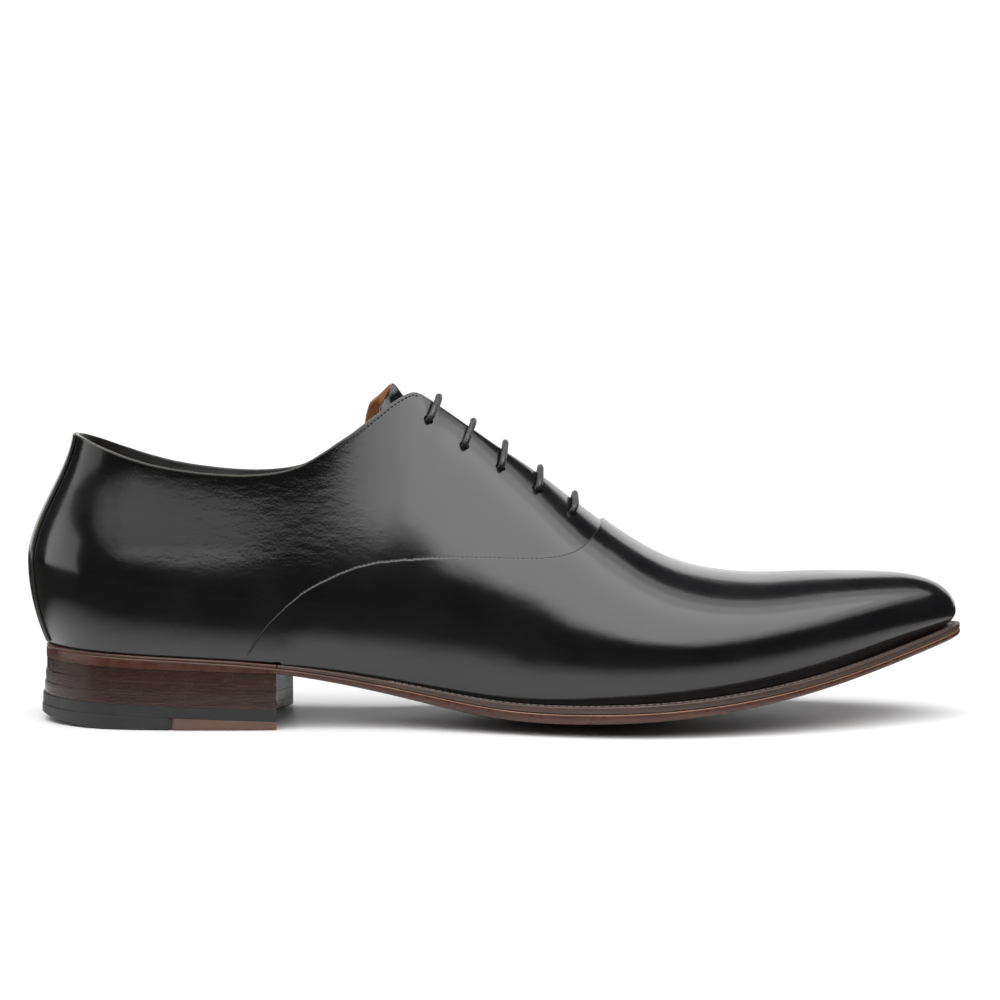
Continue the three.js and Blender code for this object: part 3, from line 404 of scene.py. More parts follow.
# ---------- materials ----------
class Look:
    """A small builder of node materials on one Principled shader."""

    def __init__(self, name, color, roughness, **values):
        self.material = bpy.data.materials.new(name)
        self.material.use_nodes = True
        self.tree = self.material.node_tree
        self.shader = self.tree.nodes["Principled BSDF"]
        self.shader.inputs["Base Color"].default_value = (*color, 1)
        self.shader.inputs["Roughness"].default_value = roughness
        for key, value in values.items():
            self.shader.inputs[key.replace("_", " ")].default_value = value
        self.where = self.node("ShaderNodeTexCoord").outputs["Object"]
        self.normal = None

    def node(self, kind, **settings):
        node = self.tree.nodes.new(kind)
        for key, value in settings.items():
            setattr(node, key, value)
        return node

    def link(self, a, b):
        self.tree.links.new(a, b)

    def stretched(self, scale):
        node = self.node("ShaderNodeMapping")
        node.inputs["Scale"].default_value = scale
        self.link(self.where, node.inputs["Vector"])
        return node.outputs["Vector"]

    def noise(self, scale, detail=3, roughness=0.55, stretch=None):
        node = self.node("ShaderNodeTexNoise")
        node.inputs["Scale"].default_value = scale
        node.inputs["Detail"].default_value = detail
        node.inputs["Roughness"].default_value = roughness
        self.link(self.stretched(stretch) if stretch else self.where, node.inputs["Vector"])
        return node.outputs["Fac"]

    def cells(self, scale, feature="DISTANCE_TO_EDGE"):
        node = self.node("ShaderNodeTexVoronoi", feature=feature)
        node.inputs["Scale"].default_value = scale
        self.link(self.where, node.inputs["Vector"])
        return node.outputs["Distance"]

    def range(self, value, low, high, out_low, out_high):
        node = self.node("ShaderNodeMapRange")
        limits = {"From Min": low, "From Max": high, "To Min": out_low, "To Max": out_high}
        for key, number in limits.items():
            node.inputs[key].default_value = number
        self.link(value, node.inputs["Value"])
        return node.outputs["Result"]

    def bump(self, height, strength, distance):
        node = self.node("ShaderNodeBump")
        node.inputs["Strength"].default_value = strength
        node.inputs["Distance"].default_value = distance
        self.link(height, node.inputs["Height"])
        if self.normal:
            self.link(self.normal, node.inputs["Normal"])
        self.normal = node.outputs["Normal"]
        self.link(self.normal, self.shader.inputs["Normal"])
        return self

    def tint(self, value, dark, light):
        node = self.node("ShaderNodeMix", data_type="RGBA")
        self.link(value, node.inputs["Factor"])
        node.inputs["A"].default_value = (*dark, 1)
        node.inputs["B"].default_value = (*light, 1)
        self.link(node.outputs["Result"], self.shader.inputs["Base Color"])
        self.base = node.outputs["Result"]
        return self

    def glint_and_tone_mix(self, color):
        """Mixes in a second colour by a weight stored on the mesh's points: a painted highlight along the
        cut edges of the black leather, a darker heel grip and top edge on the tan lining.
        """
        node = self.node("ShaderNodeMix", data_type="RGBA")
        glint_and_tone = self.node("ShaderNodeAttribute", attribute_name="glint_and_tone")
        self.link(glint_and_tone.outputs["Fac"], node.inputs["Factor"])
        self.link(self.base, node.inputs["A"])
        node.inputs["B"].default_value = (*color, 1)
        self.link(node.outputs["Result"], self.shader.inputs["Base Color"])
        return self

    def times(self, a, b):
        node = self.node("ShaderNodeMath", operation="MULTIPLY")
        self.link(a, node.inputs[0])
        self.link(b, node.inputs[1])
        return node.outputs[0]

    def distance(self, weights):
        """Distance from the origin, with a weight on each axis."""
        scaled = self.node("ShaderNodeVectorMath", operation="MULTIPLY")
        scaled.inputs[1].default_value = weights
        self.link(self.where, scaled.inputs[0])
        away = self.node("ShaderNodeVectorMath", operation="LENGTH")
        self.link(scaled.outputs["Vector"], away.inputs[0])
        return away.outputs["Value"]

    def ramp_along(self, axis, low, high):
        """Zero to one between two places along an axis, in millimetres."""
        node = self.node("ShaderNodeSeparateXYZ")
        self.link(self.where, node.inputs["Vector"])
        return self.range(node.outputs[axis], low * MM, high * MM, 0, 1)

    def rough(self, value, low, high):
        self.link(self.range(value, 0.3, 0.7, low, high), self.shader.inputs["Roughness"])
        return self


def black_leather():
    """Polished black leather, duller and finely creased towards the back, below the opening."""
    look = Look("black_leather", (0.004, 0.004, 0.0045), 0.25, Coat_Weight=0.2, Coat_Roughness=0.08)
    look.tint(look.noise(60, 2), (0.0022, 0.0022, 0.0026), (0.0075, 0.0075, 0.008))
    look.rough(look.noise(45, 4), 0.13, 0.22)
    # painted highlight: lighter olive-grey on the cut edges, where the light catches them
    look.glint_and_tone_mix((0.04, 0.039, 0.031))
    look.bump(look.noise(28, 2, 0.5), 0.35, 0.0011)
    rear = look.times(look.ramp_along("X", -30, -60), look.ramp_along("Z", 46, 60))
    rear = look.times(rear, look.ramp_along("X", -132, -104))
    dull = look.times(look.ramp_along("X", -26, -62), look.ramp_along("Z", 46, 60))
    dull = look.times(dull, look.ramp_along("X", -142, -122))
    look.link(look.range(dull, 0, 1, 0.5, 0.16), look.shader.inputs["Specular IOR Level"])
    look.link(look.range(dull, 0, 1, 0.2, 0.05), look.shader.inputs["Coat Weight"])
    look.bump(look.times(look.noise(230, 4, 0.5, (0.8, 1, 1.7)), rear), 0.5, 0.00032)
    look.bump(look.times(look.cells(700), rear), 0.4, 0.00012)
    look.bump(look.noise(260, 3, 0.6), 0.3, 0.00015)
    look.bump(look.cells(1500), 0.25, 0.00006)
    return look.material


def tan_leather():
    look = Look("tan_lining_leather", (0.34, 0.14, 0.055), 0.5, Specular_IOR_Level=0.35)
    look.tint(look.noise(90, 4), (0.22, 0.085, 0.032), (0.42, 0.19, 0.08))
    look.glint_and_tone_mix((0.008, 0.0075, 0.007))
    look.rough(look.noise(140, 3), 0.42, 0.6)
    look.bump(look.cells(1100), 0.4, 0.00008)
    look.bump(look.noise(300, 3), 0.3, 0.0001)
    return look.material


def sole_leather(name, dark, light, low, high, layers=0.0):
    look = Look(name, light, 0.4, Specular_IOR_Level=0.45)
    look.tint(look.noise(55, 5, 0.6, (1, 1, 7)), dark, light)
    look.rough(look.noise(220, 3), low, high)
    look.bump(look.noise(420, 4, 0.6, (0.6, 0.6, 4)), 0.5, 0.00012)
    if layers:
        look.bump(look.noise(layers, 2, 0.4, (0.05, 0.05, 1)), 0.35, 0.00012)
    return look.material


def rubber():
    look = Look("heel_rubber", (0.012, 0.012, 0.013), 0.5, Specular_IOR_Level=0.4)
    look.tint(look.noise(120, 4), (0.007, 0.007, 0.008), (0.02, 0.02, 0.021))
    look.rough(look.noise(180, 3), 0.4, 0.6)
    look.bump(look.noise(700, 3), 0.35, 0.00006)
    return look.material


def lace_cotton():
    look = Look("waxed_cotton", (0.008, 0.008, 0.0085), 0.3, Specular_IOR_Level=0.6, Sheen_Weight=0.1)
    look.tint(look.noise(900, 3), (0.003, 0.003, 0.0035), (0.012, 0.012, 0.0125))
    look.bump(look.noise(2600, 3), 0.5, 0.00008)
    look.bump(look.cells(1300), 1.0, 0.0003)
    return look.material


def plain_inside(name, dark, light, roughness, metal=0.0, grain=400):
    look = Look(name, light, roughness, Metallic=metal)
    look.tint(look.noise(grain, 4), dark, light)
    look.bump(look.noise(grain * 2, 3), 0.3, 0.0001)
    return look.material


BLACK = black_leather()
TAN = tan_leather()
SOLE = sole_leather("sole_edge_leather", (0.022, 0.008, 0.0055), (0.085, 0.03, 0.02), 0.22, 0.42)
TREAD = sole_leather("tread_leather", (0.20, 0.09, 0.05), (0.36, 0.19, 0.11), 0.4, 0.6)
WELT = sole_leather("welt_leather", (0.026, 0.013, 0.010), (0.075, 0.045, 0.035), 0.3, 0.5)
STACK = sole_leather("stacked_heel_leather", (0.010, 0.004, 0.003), (0.036, 0.014, 0.010), 0.16, 0.3, 500)
PAINT = sole_leather("breast_paint", (0.05, 0.049, 0.053), (0.1, 0.098, 0.105), 0.25, 0.4)
INSERT = sole_leather("top_piece_leather", (0.05, 0.027, 0.02), (0.13, 0.07, 0.05), 0.35, 0.55)
RUBBER = rubber()
LACE = lace_cotton()
THREAD = plain_inside("black_thread", (0.003, 0.003, 0.003), (0.008, 0.008, 0.008), 0.7, grain=1500)
WELT_THREAD = plain_inside("welt_thread", (0.05, 0.045, 0.04), (0.13, 0.12, 0.11), 0.55, grain=1500)
BOARD = plain_inside("insole_board", (0.35, 0.24, 0.15), (0.55, 0.41, 0.27), 0.8)
CORK = plain_inside("cork", (0.18, 0.09, 0.04), (0.40, 0.24, 0.12), 0.9)
STEEL = plain_inside("steel", (0.35, 0.36, 0.37), (0.55, 0.56, 0.57), 0.35, 1.0)
BRASS = plain_inside("dark_brass", (0.05, 0.035, 0.015), (0.13, 0.09, 0.04), 0.45, 1.0)


# ---------- camera, stage and light ----------
CAMERA_X = 1.55
CAMERA_DISTANCE = 800.0
CAMERA_HEIGHT = 111.3
CAMERA_PITCH = 2.78
WHITE_GLOW = 1.1
FLOOR_HALF = 3.0
FLOOR_Z = -0.0002


def build_camera():
    data = bpy.data.cameras.new("camera")
    data.lens = 86.4
    data.sensor_width = 36
    camera = bpy.data.objects.new("camera", data)
    camera.location = (CAMERA_X * MM, -CAMERA_DISTANCE * MM, CAMERA_HEIGHT * MM)
    camera.rotation_euler = (math.radians(90 - CAMERA_PITCH), 0, 0)
    bpy.context.scene.collection.objects.link(camera)
    bpy.context.scene.camera = camera


def area_light(name, place, target, size, energy):
    data = bpy.data.lights.new(name, "AREA")
    data.shape = "RECTANGLE"
    data.size, data.size_y = size
    data.energy = energy
    light = bpy.data.objects.new(name, data)
    light.location = place
    light.rotation_euler = (Vector(target) - Vector(place)).to_track_quat("-Z", "Y").to_euler()
    bpy.context.scene.collection.objects.link(light)


def shine(tree, kind, color, strength):
    node = tree.nodes.new(kind)
    node.inputs["Color"].default_value = (*color, 1)
    node.inputs["Strength"].default_value = strength
    return node.outputs[0]


def blend(tree, factor, first, second):
    node = tree.nodes.new("ShaderNodeMixShader")
    for socket, output in zip(node.inputs, (factor, first, second)):
        tree.links.new(output, socket)
    return node.outputs["Shader"]


def seen_directly(tree, bounced, seen):
    """One shader for the camera and another one for the light that bounces."""
    return blend(tree, tree.nodes.new("ShaderNodeLightPath").outputs["Is Camera Ray"], bounced, seen)


def build_floor():
    """A white floor. The camera sees it glow far away, and bounced light sees it dark away from the shoe."""
    look = Look("white_floor", (0.75, 0.75, 0.75), 0.45, Specular_IOR_Level=0.3)
    look.tint(look.noise(3, 2), (0.74, 0.74, 0.74), (0.77, 0.77, 0.77))
    tree = look.tree
    gloss = look.shader.outputs["BSDF"]
    glow = shine(tree, "ShaderNodeEmission", (1, 1, 1), WHITE_GLOW)
    dark = look.node("ShaderNodeBsdfDiffuse")
    dark.inputs["Color"].default_value = (0.03, 0.03, 0.03, 1)
    far = look.range(look.distance((1, 1, 1)), 0.35, 0.9, 0, 1)
    edge = look.range(look.distance((0.45, 1, 1)), 0.09, 0.14, 0, 1)
    bounced = blend(tree, edge, gloss, dark.outputs["BSDF"])
    surface = seen_directly(tree, bounced, blend(tree, far, gloss, glow))
    look.link(surface, tree.nodes["Material Output"].inputs["Surface"])
    mesh = bpy.data.meshes.new("floor")
    corners = [(-1, -1), (1, -1), (1, 1), (-1, 1)]
    mesh.from_pydata([(x * FLOOR_HALF, y * FLOOR_HALF, FLOOR_Z) for x, y in corners], [], [(0, 1, 2, 3)])
    mesh.materials.append(look.material)
    floor = bpy.data.objects.new("floor", mesh)
    bpy.context.scene.collection.objects.link(floor)


def build_light():
    world = bpy.data.worlds.new("studio")
    bpy.context.scene.world = world
    world.use_nodes = True
    tree = world.node_tree
    tree.nodes.remove(tree.nodes["Background"])
    dim = shine(tree, "ShaderNodeBackground", (0.9, 0.95, 1), 0.03)
    white = shine(tree, "ShaderNodeBackground", (1, 1, 1), WHITE_GLOW)
    tree.links.new(seen_directly(tree, dim, white), tree.nodes["World Output"].inputs["Surface"])
    for share, up in ((1.0, 1.1), (0.84, 1.14), (0.68, 1.18)):
        size = (2.8 * share, 3.4 * share)
        area_light(f"overhead_{share:.2f}", (0.0, -1.0, up), (0, -1.0001, 0), size, 38 * share ** 2)
    area_light("back_wall", (0.0, 1.7, 0.45), (0, 0, 0.45), (3.0, 0.9), 9)
    area_light("left_panel", (-1.6, -0.1, 0.4), (0, -0.1, 0.3), (1.2, 0.8), 5)
    bpy.context.scene.view_settings.view_transform = "Standard"


build_camera()
build_floor()
build_light()


# ---------- upper ----------
LINING_ROLL = 0.5
STAY_WIDTH = 17
STAY_GAP = 0.06
STAY_BACK = 0.44
STRIP_HALF = 12
STRIP_OUT = 0.9
STRIP_ROWS = 41


def seam_cut(ribs, drop=0.0):
    """Where each rib meets the edge of the vamp, or a line some way below it."""
    return ribs.cut(lambda p: p[..., 2] < vamp_seam_z(p[..., 0]) - drop)


def below_top(p):
    x, z = p[..., 0], p[..., 2]
    corner = np.minimum(topline_z(x), ridge_z(x))
    blend = 2.2
    soft = corner - blend * np.exp(-np.abs(topline_z(x) - ridge_z(x)) / (2 * blend)) * 0.7
    return z < np.where(x < -6, soft, ridge_z(x) + 1)


def reinforcement(ribs, down, up):
    """Room that the counter and the facing stay take between the quarter and its lining."""
    heel = (1 - smooth(-92, -84, ribs.xw))[:, None] * (1 - smooth(50, 62, up))
    facing = smooth(-36, -26, ribs.ox)[:, None] * (1 - smooth(17, 26, down))
    return np.maximum(COUNTER_ROOM * heel, STAY_ROOM * facing)


def seat_on(degrees, x, z):
    """The point and outward normal of the last surface at a place seen from the side."""
    stations = Ribs([x - 0.5, x, x + 0.5], [degrees] * 3)
    v = np.array([float(stations.pick([False, True, False]).cut(lambda p: p[..., 2] < z)[0])])
    step = 0.01
    low = stations.surface(v - step)[:, 0]
    mid = stations.surface(v)[:, 0]
    high = stations.surface(v + step)[:, 0]
    normal = np.cross(mid[2] - mid[0], high[1] - low[1])
    normal = normal / np.linalg.norm(normal)
    return mid[1], normal if normal[2] > 0 else -normal


SEATS = {
    "lateral": [seat_on(-90, *place) for place in EYELETS],
    "medial": [seat_on(90, *place) for place in EYELETS],
}


def below_lap(p):
    """Below the lower edge of the quarter, where it is hidden under the vamp."""
    x, z = p[..., 0], p[..., 2]
    return z < vamp_seam_z(x) - SEAM_LAP * (1 - 0.7 * smooth(8, 28, x))


def build_quarter(side, ribs):
    ribs = ribs.pick(ribs.ox < THROAT + 2)
    top = ribs.cut(below_top)
    seam = ribs.cut(below_lap)
    lapped = ribs.xw > TAIL + SEAM_LAP
    low = np.where(lapped, np.minimum(seam, top - 0.05), -1.0)
    points, down, up = wall(ribs, low, top, 46)
    lead = margin(ribs, MARGIN)
    lead[lapped] = points[lapped, :1]
    wide = np.full(lead.shape[:2], NO_EDGE)
    sheet = Sheet(np.concatenate([lead, points], 1), down=np.concatenate([wide, down], 1))
    sheet.punch([seat for seat, _ in SEATS[side]], EYELET_R)
    roll = rounded(sheet.fields["down"], 0.6)
    # painted highlight along the quarter's top edge, where the light catches the cut edge
    glint_and_tone = 1 - smooth(0.25, 0.75, sheet.fields["down"])
    quarter = solid(f"quarter_{side}_leather", sheet, -roll, -UPPER, BLACK, glint_and_tone=glint_and_tone)
    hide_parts(f"quarter_{side}")

    ribs = ribs.pick(ribs.ox < THROAT - 3)
    lapped = ribs.xw > TAIL + SEAM_LAP
    inside_top = ribs.cut(below_top)
    low = np.where(lapped, seam_cut(ribs, 3.5), -1.0)
    low = np.minimum(low, inside_top - 0.05)
    points, down, up = wall(ribs, low, inside_top, 40)
    over_seam = points[..., 2] - vamp_seam_z(points[..., 0])
    lap = smooth(-88, -79, ribs.xw)[:, None] * (1 - smooth(2, 11, over_seam))
    depth = LINING_DEPTH + np.maximum(reinforcement(ribs, down, up), 1.08 * lap)
    depth = depth * (1 - 0.375 * (1 - smooth(0, 5, down)))
    sheet = Sheet(points, down=down, depth=depth)
    sheet.punch([seat for seat, _ in SEATS[side]], EYELET_R + 0.3)
    depth = sheet.fields["depth"]
    roll = rounded(sheet.fields["down"], LINING_ROLL)
    grip = 1 - smooth(-74, -66, sheet.points[:, 0])
    dark = np.maximum(grip, 1 - smooth(0.9, 1.2, sheet.fields["down"]))
    lining = solid(f"quarter_lining_{side}_leather", sheet, -depth, -depth - LINING + roll, TAN, glint_and_tone=dark)
    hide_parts(f"quarter_lining_{side}")
    return quarter


def build_stay(side, ribs):
    """The stiff strip behind the eyelets, set back from the edge of the facing."""
    ribs = ribs.pick((ribs.ox > CORNER + 1.5) & (ribs.ox < THROAT - 2))
    top = ribs.cut(below_top)
    low = np.minimum(ribs.cut(lambda p: p[..., 2] < ridge_z(p[..., 0]) - STAY_WIDTH), top - 0.1)
    points, _, _ = wall(ribs, low, top, 60)
    sheet = Sheet(points[:, :-7])
    sheet.punch([seat for seat, _ in SEATS[side]], EYELET_R)
    stay = solid(f"facing_stay_{side}_board", sheet, -UPPER - STAY_GAP, -UPPER - STAY_BACK, BOARD)
    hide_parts(f"facing_stay_{side}")


def rib_length(ribs, v_low):
    """Distance over the surface from a height on each rib up to the ridge or opening."""
    v = v_low[:, None] + (1 - v_low)[:, None] * np.linspace(0, 1, 121)
    return np.linalg.norm(np.diff(ribs.surface(v), axis=1), axis=2).sum(1)[:, None]


def vamp_rise(ribs, down, up, start):
    """The vamp stands up on the quarters where it laps over them, and eases down beyond them."""
    x = ribs.ox[:, None]
    from_ridge = rib_length(ribs, start) - up
    at = down + (from_ridge - 13 - down) * smooth(-6, 44, x)
    fade = 1 - smooth(6, 40, at)
    seam = fade * (1 - smooth(THROAT, 66, x))
    tail = (1 - smooth(-70, -50, x)) * smooth(0, 4, up + 4 * (ribs.ox[:, None] < -70))
    return LAP_RISE * np.maximum(seam, tail)


def build_vamp():
    ribs = join(LATERAL.pick(LATERAL.xw > TAIL - 0.2), TOE, MEDIAL.pick(MEDIAL.xw > TAIL - 0.2))
    seam = np.maximum(seam_cut(ribs), -0.93)
    start = np.where(ribs.ox < -69, -0.97, -1.0)
    points, down, up = wall(ribs, start, seam, 48)
    rise = vamp_rise(ribs, down, up, start)
    open_edge = np.where((seam < 0.999)[:, None], down, NO_EDGE)
    lead = margin(ribs, MARGIN)
    lead[ribs.ox < -69] = points[ribs.ox < -69, :1]
    wide = np.full(lead.shape[:2], NO_EDGE)
    sheet = Sheet(
        np.concatenate([lead, points], 1),
        rise=np.concatenate([0 * wide, rise], 1), down=np.concatenate([wide, open_edge], 1),
    )
    rise = sheet.fields["rise"]
    roll = rounded(sheet.fields["down"], 0.7)
    # painted highlight along the vamp's cut edge over the quarters, where the top light catches it
    glint_and_tone = 1 - smooth(0.2, 0.7, sheet.fields["down"])
    vamp = solid("vamp_leather", sheet, rise - roll, rise - UPPER, BLACK, glint_and_tone=glint_and_tone)
    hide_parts("vamp")
    return vamp


def toe_room(x):
    """Room for the toe puff between the vamp and what lies inside it."""
    return 1.4 * smooth(108, 124, x)


def build_vamp_lining():
    ribs = join(LATERAL.pick(LATERAL.ox > -75.5), TOE, MEDIAL.pick(MEDIAL.ox > -75.5))
    points, down, _ = wall(ribs, np.full(len(ribs.ox), -1.0), seam_cut(ribs, 1), 30, edge=False)
    sheet = Sheet(points, depth=LINING_DEPTH + toe_room(ribs.xw)[:, None] + 0 * down)
    depth = sheet.fields["depth"]
    lining = solid("vamp_lining_leather", sheet, -depth, -depth - LINING, TAN)
    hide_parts("vamp_lining")


def build_back_strip():
    degrees = np.linspace(196, 164, STRIP_ROWS)[::-1]
    ribs = Ribs(np.full(STRIP_ROWS, HEEL_POLE), degrees)
    points, down, _ = wall(ribs, np.full(STRIP_ROWS, -0.97), ribs.cut(below_top), 50)
    across = np.abs(degrees - 180)[:, None] * 0.75
    sheet = Sheet(points, down=down, side=STRIP_HALF - across + 0 * down)
    roll = rounded(sheet.fields["down"], LINING_ROLL) + rounded(sheet.fields["side"], LINING_ROLL)
    # painted highlight and reflection along the strip's edges, which catch the light at a grazing angle
    glint_and_tone = 0.8 * (1 - smooth(0.3, 0.9, np.minimum(sheet.fields["side"], sheet.fields["down"])))
    strip = solid("back_strip_leather", sheet, STRIP_OUT - roll, 0.12, BLACK, glint_and_tone=glint_and_tone)
    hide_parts("back_strip")


quarters = {side: build_quarter(side, ribs) for side, ribs in SIDES.items()}
for side, ribs in SIDES.items():
    build_stay(side, ribs)
vamp = build_vamp()
build_vamp_lining()
build_back_strip()


# ---------- tongue ----------
TONGUE_HALF = Spline([(-37, 13), (-27, 19), (-11, 22.5), (16, 20), (42, 14)])
TONGUE_TIP = -32.5
TONGUE_SLANT = 0.62
TONGUE_RISE = 1.7
TONGUE_DEPTH = 4.7
WING_DEPTH = 3.4
TONGUE_BACK = 0.13
TONGUE_COLUMNS = 61


def tongue_height(x, y):
    """Height of the last surface over the tongue, at one station for an array of widths."""
    sides = Ribs(np.repeat(x, 2), np.tile([-90.0, 90.0], len(x)))
    pick = np.arange(len(x)) * 2 + (y >= 0)
    bulge, middle = sides.bulge[pick], sides.bulge_height[pick]
    back = 2.2 * np.minimum(opening_half(np.clip(x, CORNER, 30)), 5.5)
    across = np.clip((np.hypot(y, back) - back) / (np.hypot(bulge, back) - back), 0, 1)
    return middle + (ridge_z(x) - middle) * np.sqrt(1 - across ** fullness(x))


def tongue_grid():
    stations = np.concatenate([np.linspace(TONGUE_TIP, -24, 26, endpoint=False), np.linspace(-24, 42, 56)])
    share = np.linspace(-1, 1, TONGUE_COLUMNS)
    rows = []
    for at in stations:
        corner = 1 - 0.3 * (1 - min(1, (at - TONGUE_TIP) / 5)) ** 2
        y = TONGUE_HALF(at) * share * corner
        drop = ridge_z(at) - tongue_height(np.full(TONGUE_COLUMNS, at), y)
        x = at - TONGUE_SLANT * drop * (1 - smooth(TONGUE_TIP, 0, at))
        x = x - TONGUE_BACK * y * (1 - smooth(TONGUE_TIP, CORNER, at))
        rows.append(np.stack([x, spine_y(x) + y, tongue_height(x, y)], -1))
    grid = np.array(rows)
    q = np.abs(TONGUE_HALF(stations)[:, None] * share)
    return grid, q, stations


def build_tongue():
    grid, q, x = tongue_grid()
    free = 1 - smooth(TONGUE_TIP, CORNER, x)[:, None]
    wing = smooth(2, 7.5 + 4.5 * free, q)
    depth = TONGUE_DEPTH + WING_DEPTH * wing - TONGUE_RISE * free * (1 - wing)
    tip = x[:, None] - TONGUE_TIP + 0 * q
    side = TONGUE_HALF(x)[:, None] - q
    sheet = Sheet(grid[::-1], depth=depth[::-1], tip=tip[::-1], side=side[::-1])
    if sheet.normals[:, 2].mean() < 0:
        sheet.quads = sheet.quads[:, ::-1]
        sheet.normals = -sheet.normals
    depth = sheet.fields["depth"]
    roll = rounded(np.minimum(sheet.fields["tip"], sheet.fields["side"]), 0.6)
    tongue = solid("tongue_leather", sheet, -depth - roll, -depth - UPPER, BLACK, "tongue")
    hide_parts("tongue")
    inner = -depth - UPPER - 0.1
    lining = solid("tongue_lining_leather", sheet, inner, inner - 0.9 + roll, TAN, "tongue")
    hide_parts("tongue_lining")


build_tongue()


# ---------- lace ----------
def lace_points():
    """The route of the lace: five straight bars, joined by runs behind the facings."""
    under, through, over = -5.3, -2.0, LACE_R + 0.5
    points = []
    here, there = "lateral", "medial"
    for row in (4, 3, 2, 1, 0):
        start, to = SEATS[here][row], SEATS[there][row]
        x = EYELETS[row][0]
        sign = -1 if here == "lateral" else 1
        crown_x = x + CROWN_SHIFT[row]
        crown = float(ridge_z(crown_x)) + 2.6
        points += [start[0] + start[1] * h for h in (under, through, over)]
        for y in (5.5, 0, -5.5):
            points.append(np.array([crown_x, float(spine_y(x)) + sign * y, crown - abs(y) * 0.12]))
        points += [to[0] + to[1] * h for h in (over, through, under)]
        if row:
            ahead = SEATS[there][row - 1]
            points.append((to[0] + to[1] * under + ahead[0] + ahead[1] * under) / 2)
        here, there = there, here
    return np.array(points)


def between(low, high, at, a, b):
    return (high - at) / (high - low) * a + (at - low) / (high - low) * b


def smooth_path(points, step):
    """A centripetal Catmull-Rom curve through the points, cut into even steps."""
    p = np.concatenate([[2 * points[0] - points[1]], points, [2 * points[-1] - points[-2]]])
    out = []
    for i in range(1, len(p) - 2):
        t = np.concatenate([[0], np.cumsum(np.linalg.norm(np.diff(p[i - 1:i + 3], axis=0), axis=1) ** 0.5)])
        for s in np.linspace(t[1], t[2], 24, endpoint=False):
            a = [between(t[k], t[k + 1], s, p[i - 1 + k], p[i + k]) for k in range(3)]
            b = [between(t[k], t[k + 2], s, a[k], a[k + 1]) for k in range(2)]
            out.append(between(t[1], t[2], s, *b))
    out.append(points[-1])
    return even(np.array(out), step)


def even(line, step):
    run = lengths(line)
    count = max(2, int(round(run[-1] / step)) + 1)
    at = np.linspace(0, run[-1], count)
    return np.stack([np.interp(at, run, line[:, c]) for c in range(3)], -1)


def frames(path):
    """Unit side vectors that turn with the path without twisting round it."""
    tangent = unit(np.gradient(path, axis=0))
    side = np.cross(tangent[0], [0.3, 0.5, 0.8])
    sides = []
    for t in tangent:
        side = side - t * np.dot(side, t)
        side = side / np.linalg.norm(side)
        sides.append(side)
    return np.array(sides), np.cross(tangent, sides)


def ring_faces(rings, around, base=0):
    """Faces that join rings of points, and one face that closes each end."""
    faces = []
    for low in range(base, base + (rings - 1) * around, around):
        for k in range(around):
            n = (k + 1) % around
            faces.append([low + k, low + n, low + around + n, low + around + k])
    last = base + (rings - 1) * around
    return faces + [[base + k for k in reversed(range(around))], [last + k for k in range(around)]]


def tube(path, radius, around, relief):
    """Points and faces of a tube with closed ends; relief(run, angle) scales the radius."""
    side, up = frames(path)
    angle = np.arange(around) * 2 * math.pi / around
    scale = relief(lengths(path)[:, None], angle[None, :])
    ring = side[:, None] * np.cos(angle)[None, :, None] + up[:, None] * np.sin(angle)[None, :, None]
    points = path[:, None] + ring * (radius * scale)[..., None]
    return points.reshape(-1, 3), ring_faces(len(path), around)


def braid(run, angle):
    """Strands that wind both ways round the lace."""
    turns = 2 * math.pi / 3.4
    one = np.abs(np.sin(3 * angle + turns * run))
    two = np.abs(np.sin(3 * angle - turns * run))
    return 0.80 + 0.23 * np.maximum(one, two)


lace_path = smooth_path(lace_points(), 0.34)
points, faces = tube(lace_path, LACE_R, 18, braid)
lace = make("round_lace", points, faces, LACE, crease=80)
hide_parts("lace")


# ---------- stitching ----------
UPPER_PITCH = 1.5
STITCH_SIDES = 6
BEAD_RINGS = [
    (-0.5, 0.35, -0.5), (-0.36, 0.85, -0.05), (0, 1.0, 0.3), (0.36, 0.85, -0.05), (0.5, 0.35, -0.5),
]


def surface_tree(obj):
    points = [v.co.copy() for v in obj.data.vertices]
    return BVHTree.FromPolygons(points, [tuple(p.vertices) for p in obj.data.polygons])


def on_surface(tree, line):
    hits = [tree.find_nearest(Vector(p * MM)) for p in line]
    return np.array([np.array(h[0]) / MM for h in hits]), np.array([np.array(h[1]) for h in hits])


def stitch_points(centre, along, normal, length, radius):
    """One stitch: a short rounded bead that sinks into the leather at both ends."""
    side = np.cross(normal, along)
    out = []
    for place, scale, lift in BEAD_RINGS:
        middle = centre + along * place * length + normal * lift * radius
        for k in range(STITCH_SIDES):
            a = k * 2 * math.pi / STITCH_SIDES
            out.append(middle + (side * math.cos(a) + normal * math.sin(a)) * radius * scale)
    return out


def stitch_row(name, lines, tree, pitch, radius, material=THREAD):
    """Stitches in rows along lines on a surface, each a little shorter than the pitch."""
    points, faces = [], []
    for line in lines:
        placed, normals = on_surface(tree, even(line, pitch))
        for here, there, normal in zip(placed, placed[1:], normals):
            length = np.linalg.norm(there - here)
            along = (there - here) / max(length, 1e-9)
            faces += ring_faces(len(BEAD_RINGS), STITCH_SIDES, len(points))
            points += stitch_points((here + there) / 2, along, normal, length * 0.78, radius)
    row = make(name, np.array(points), faces, material, crease=180)
    return row


def seam_line(ribs):
    ribs = ribs.pick((ribs.ox < THROAT) & (ribs.xw > TAIL + 0.3))
    seam = np.maximum(seam_cut(ribs), -0.93)
    return ribs.surface(seam[:, None])[:, 0]


def top_line(ribs):
    ribs = ribs.pick((ribs.ox > -52) & (ribs.ox < CORNER + 1.5))
    return ribs.surface(ribs.cut(below_top)[:, None])[:, 0]


def offset_line(line, tree, distance):
    """The line moved sideways over the surface."""
    placed, normals = on_surface(tree, even(line, 0.8))
    return placed + np.cross(normals, unit(np.gradient(placed, axis=0))) * distance


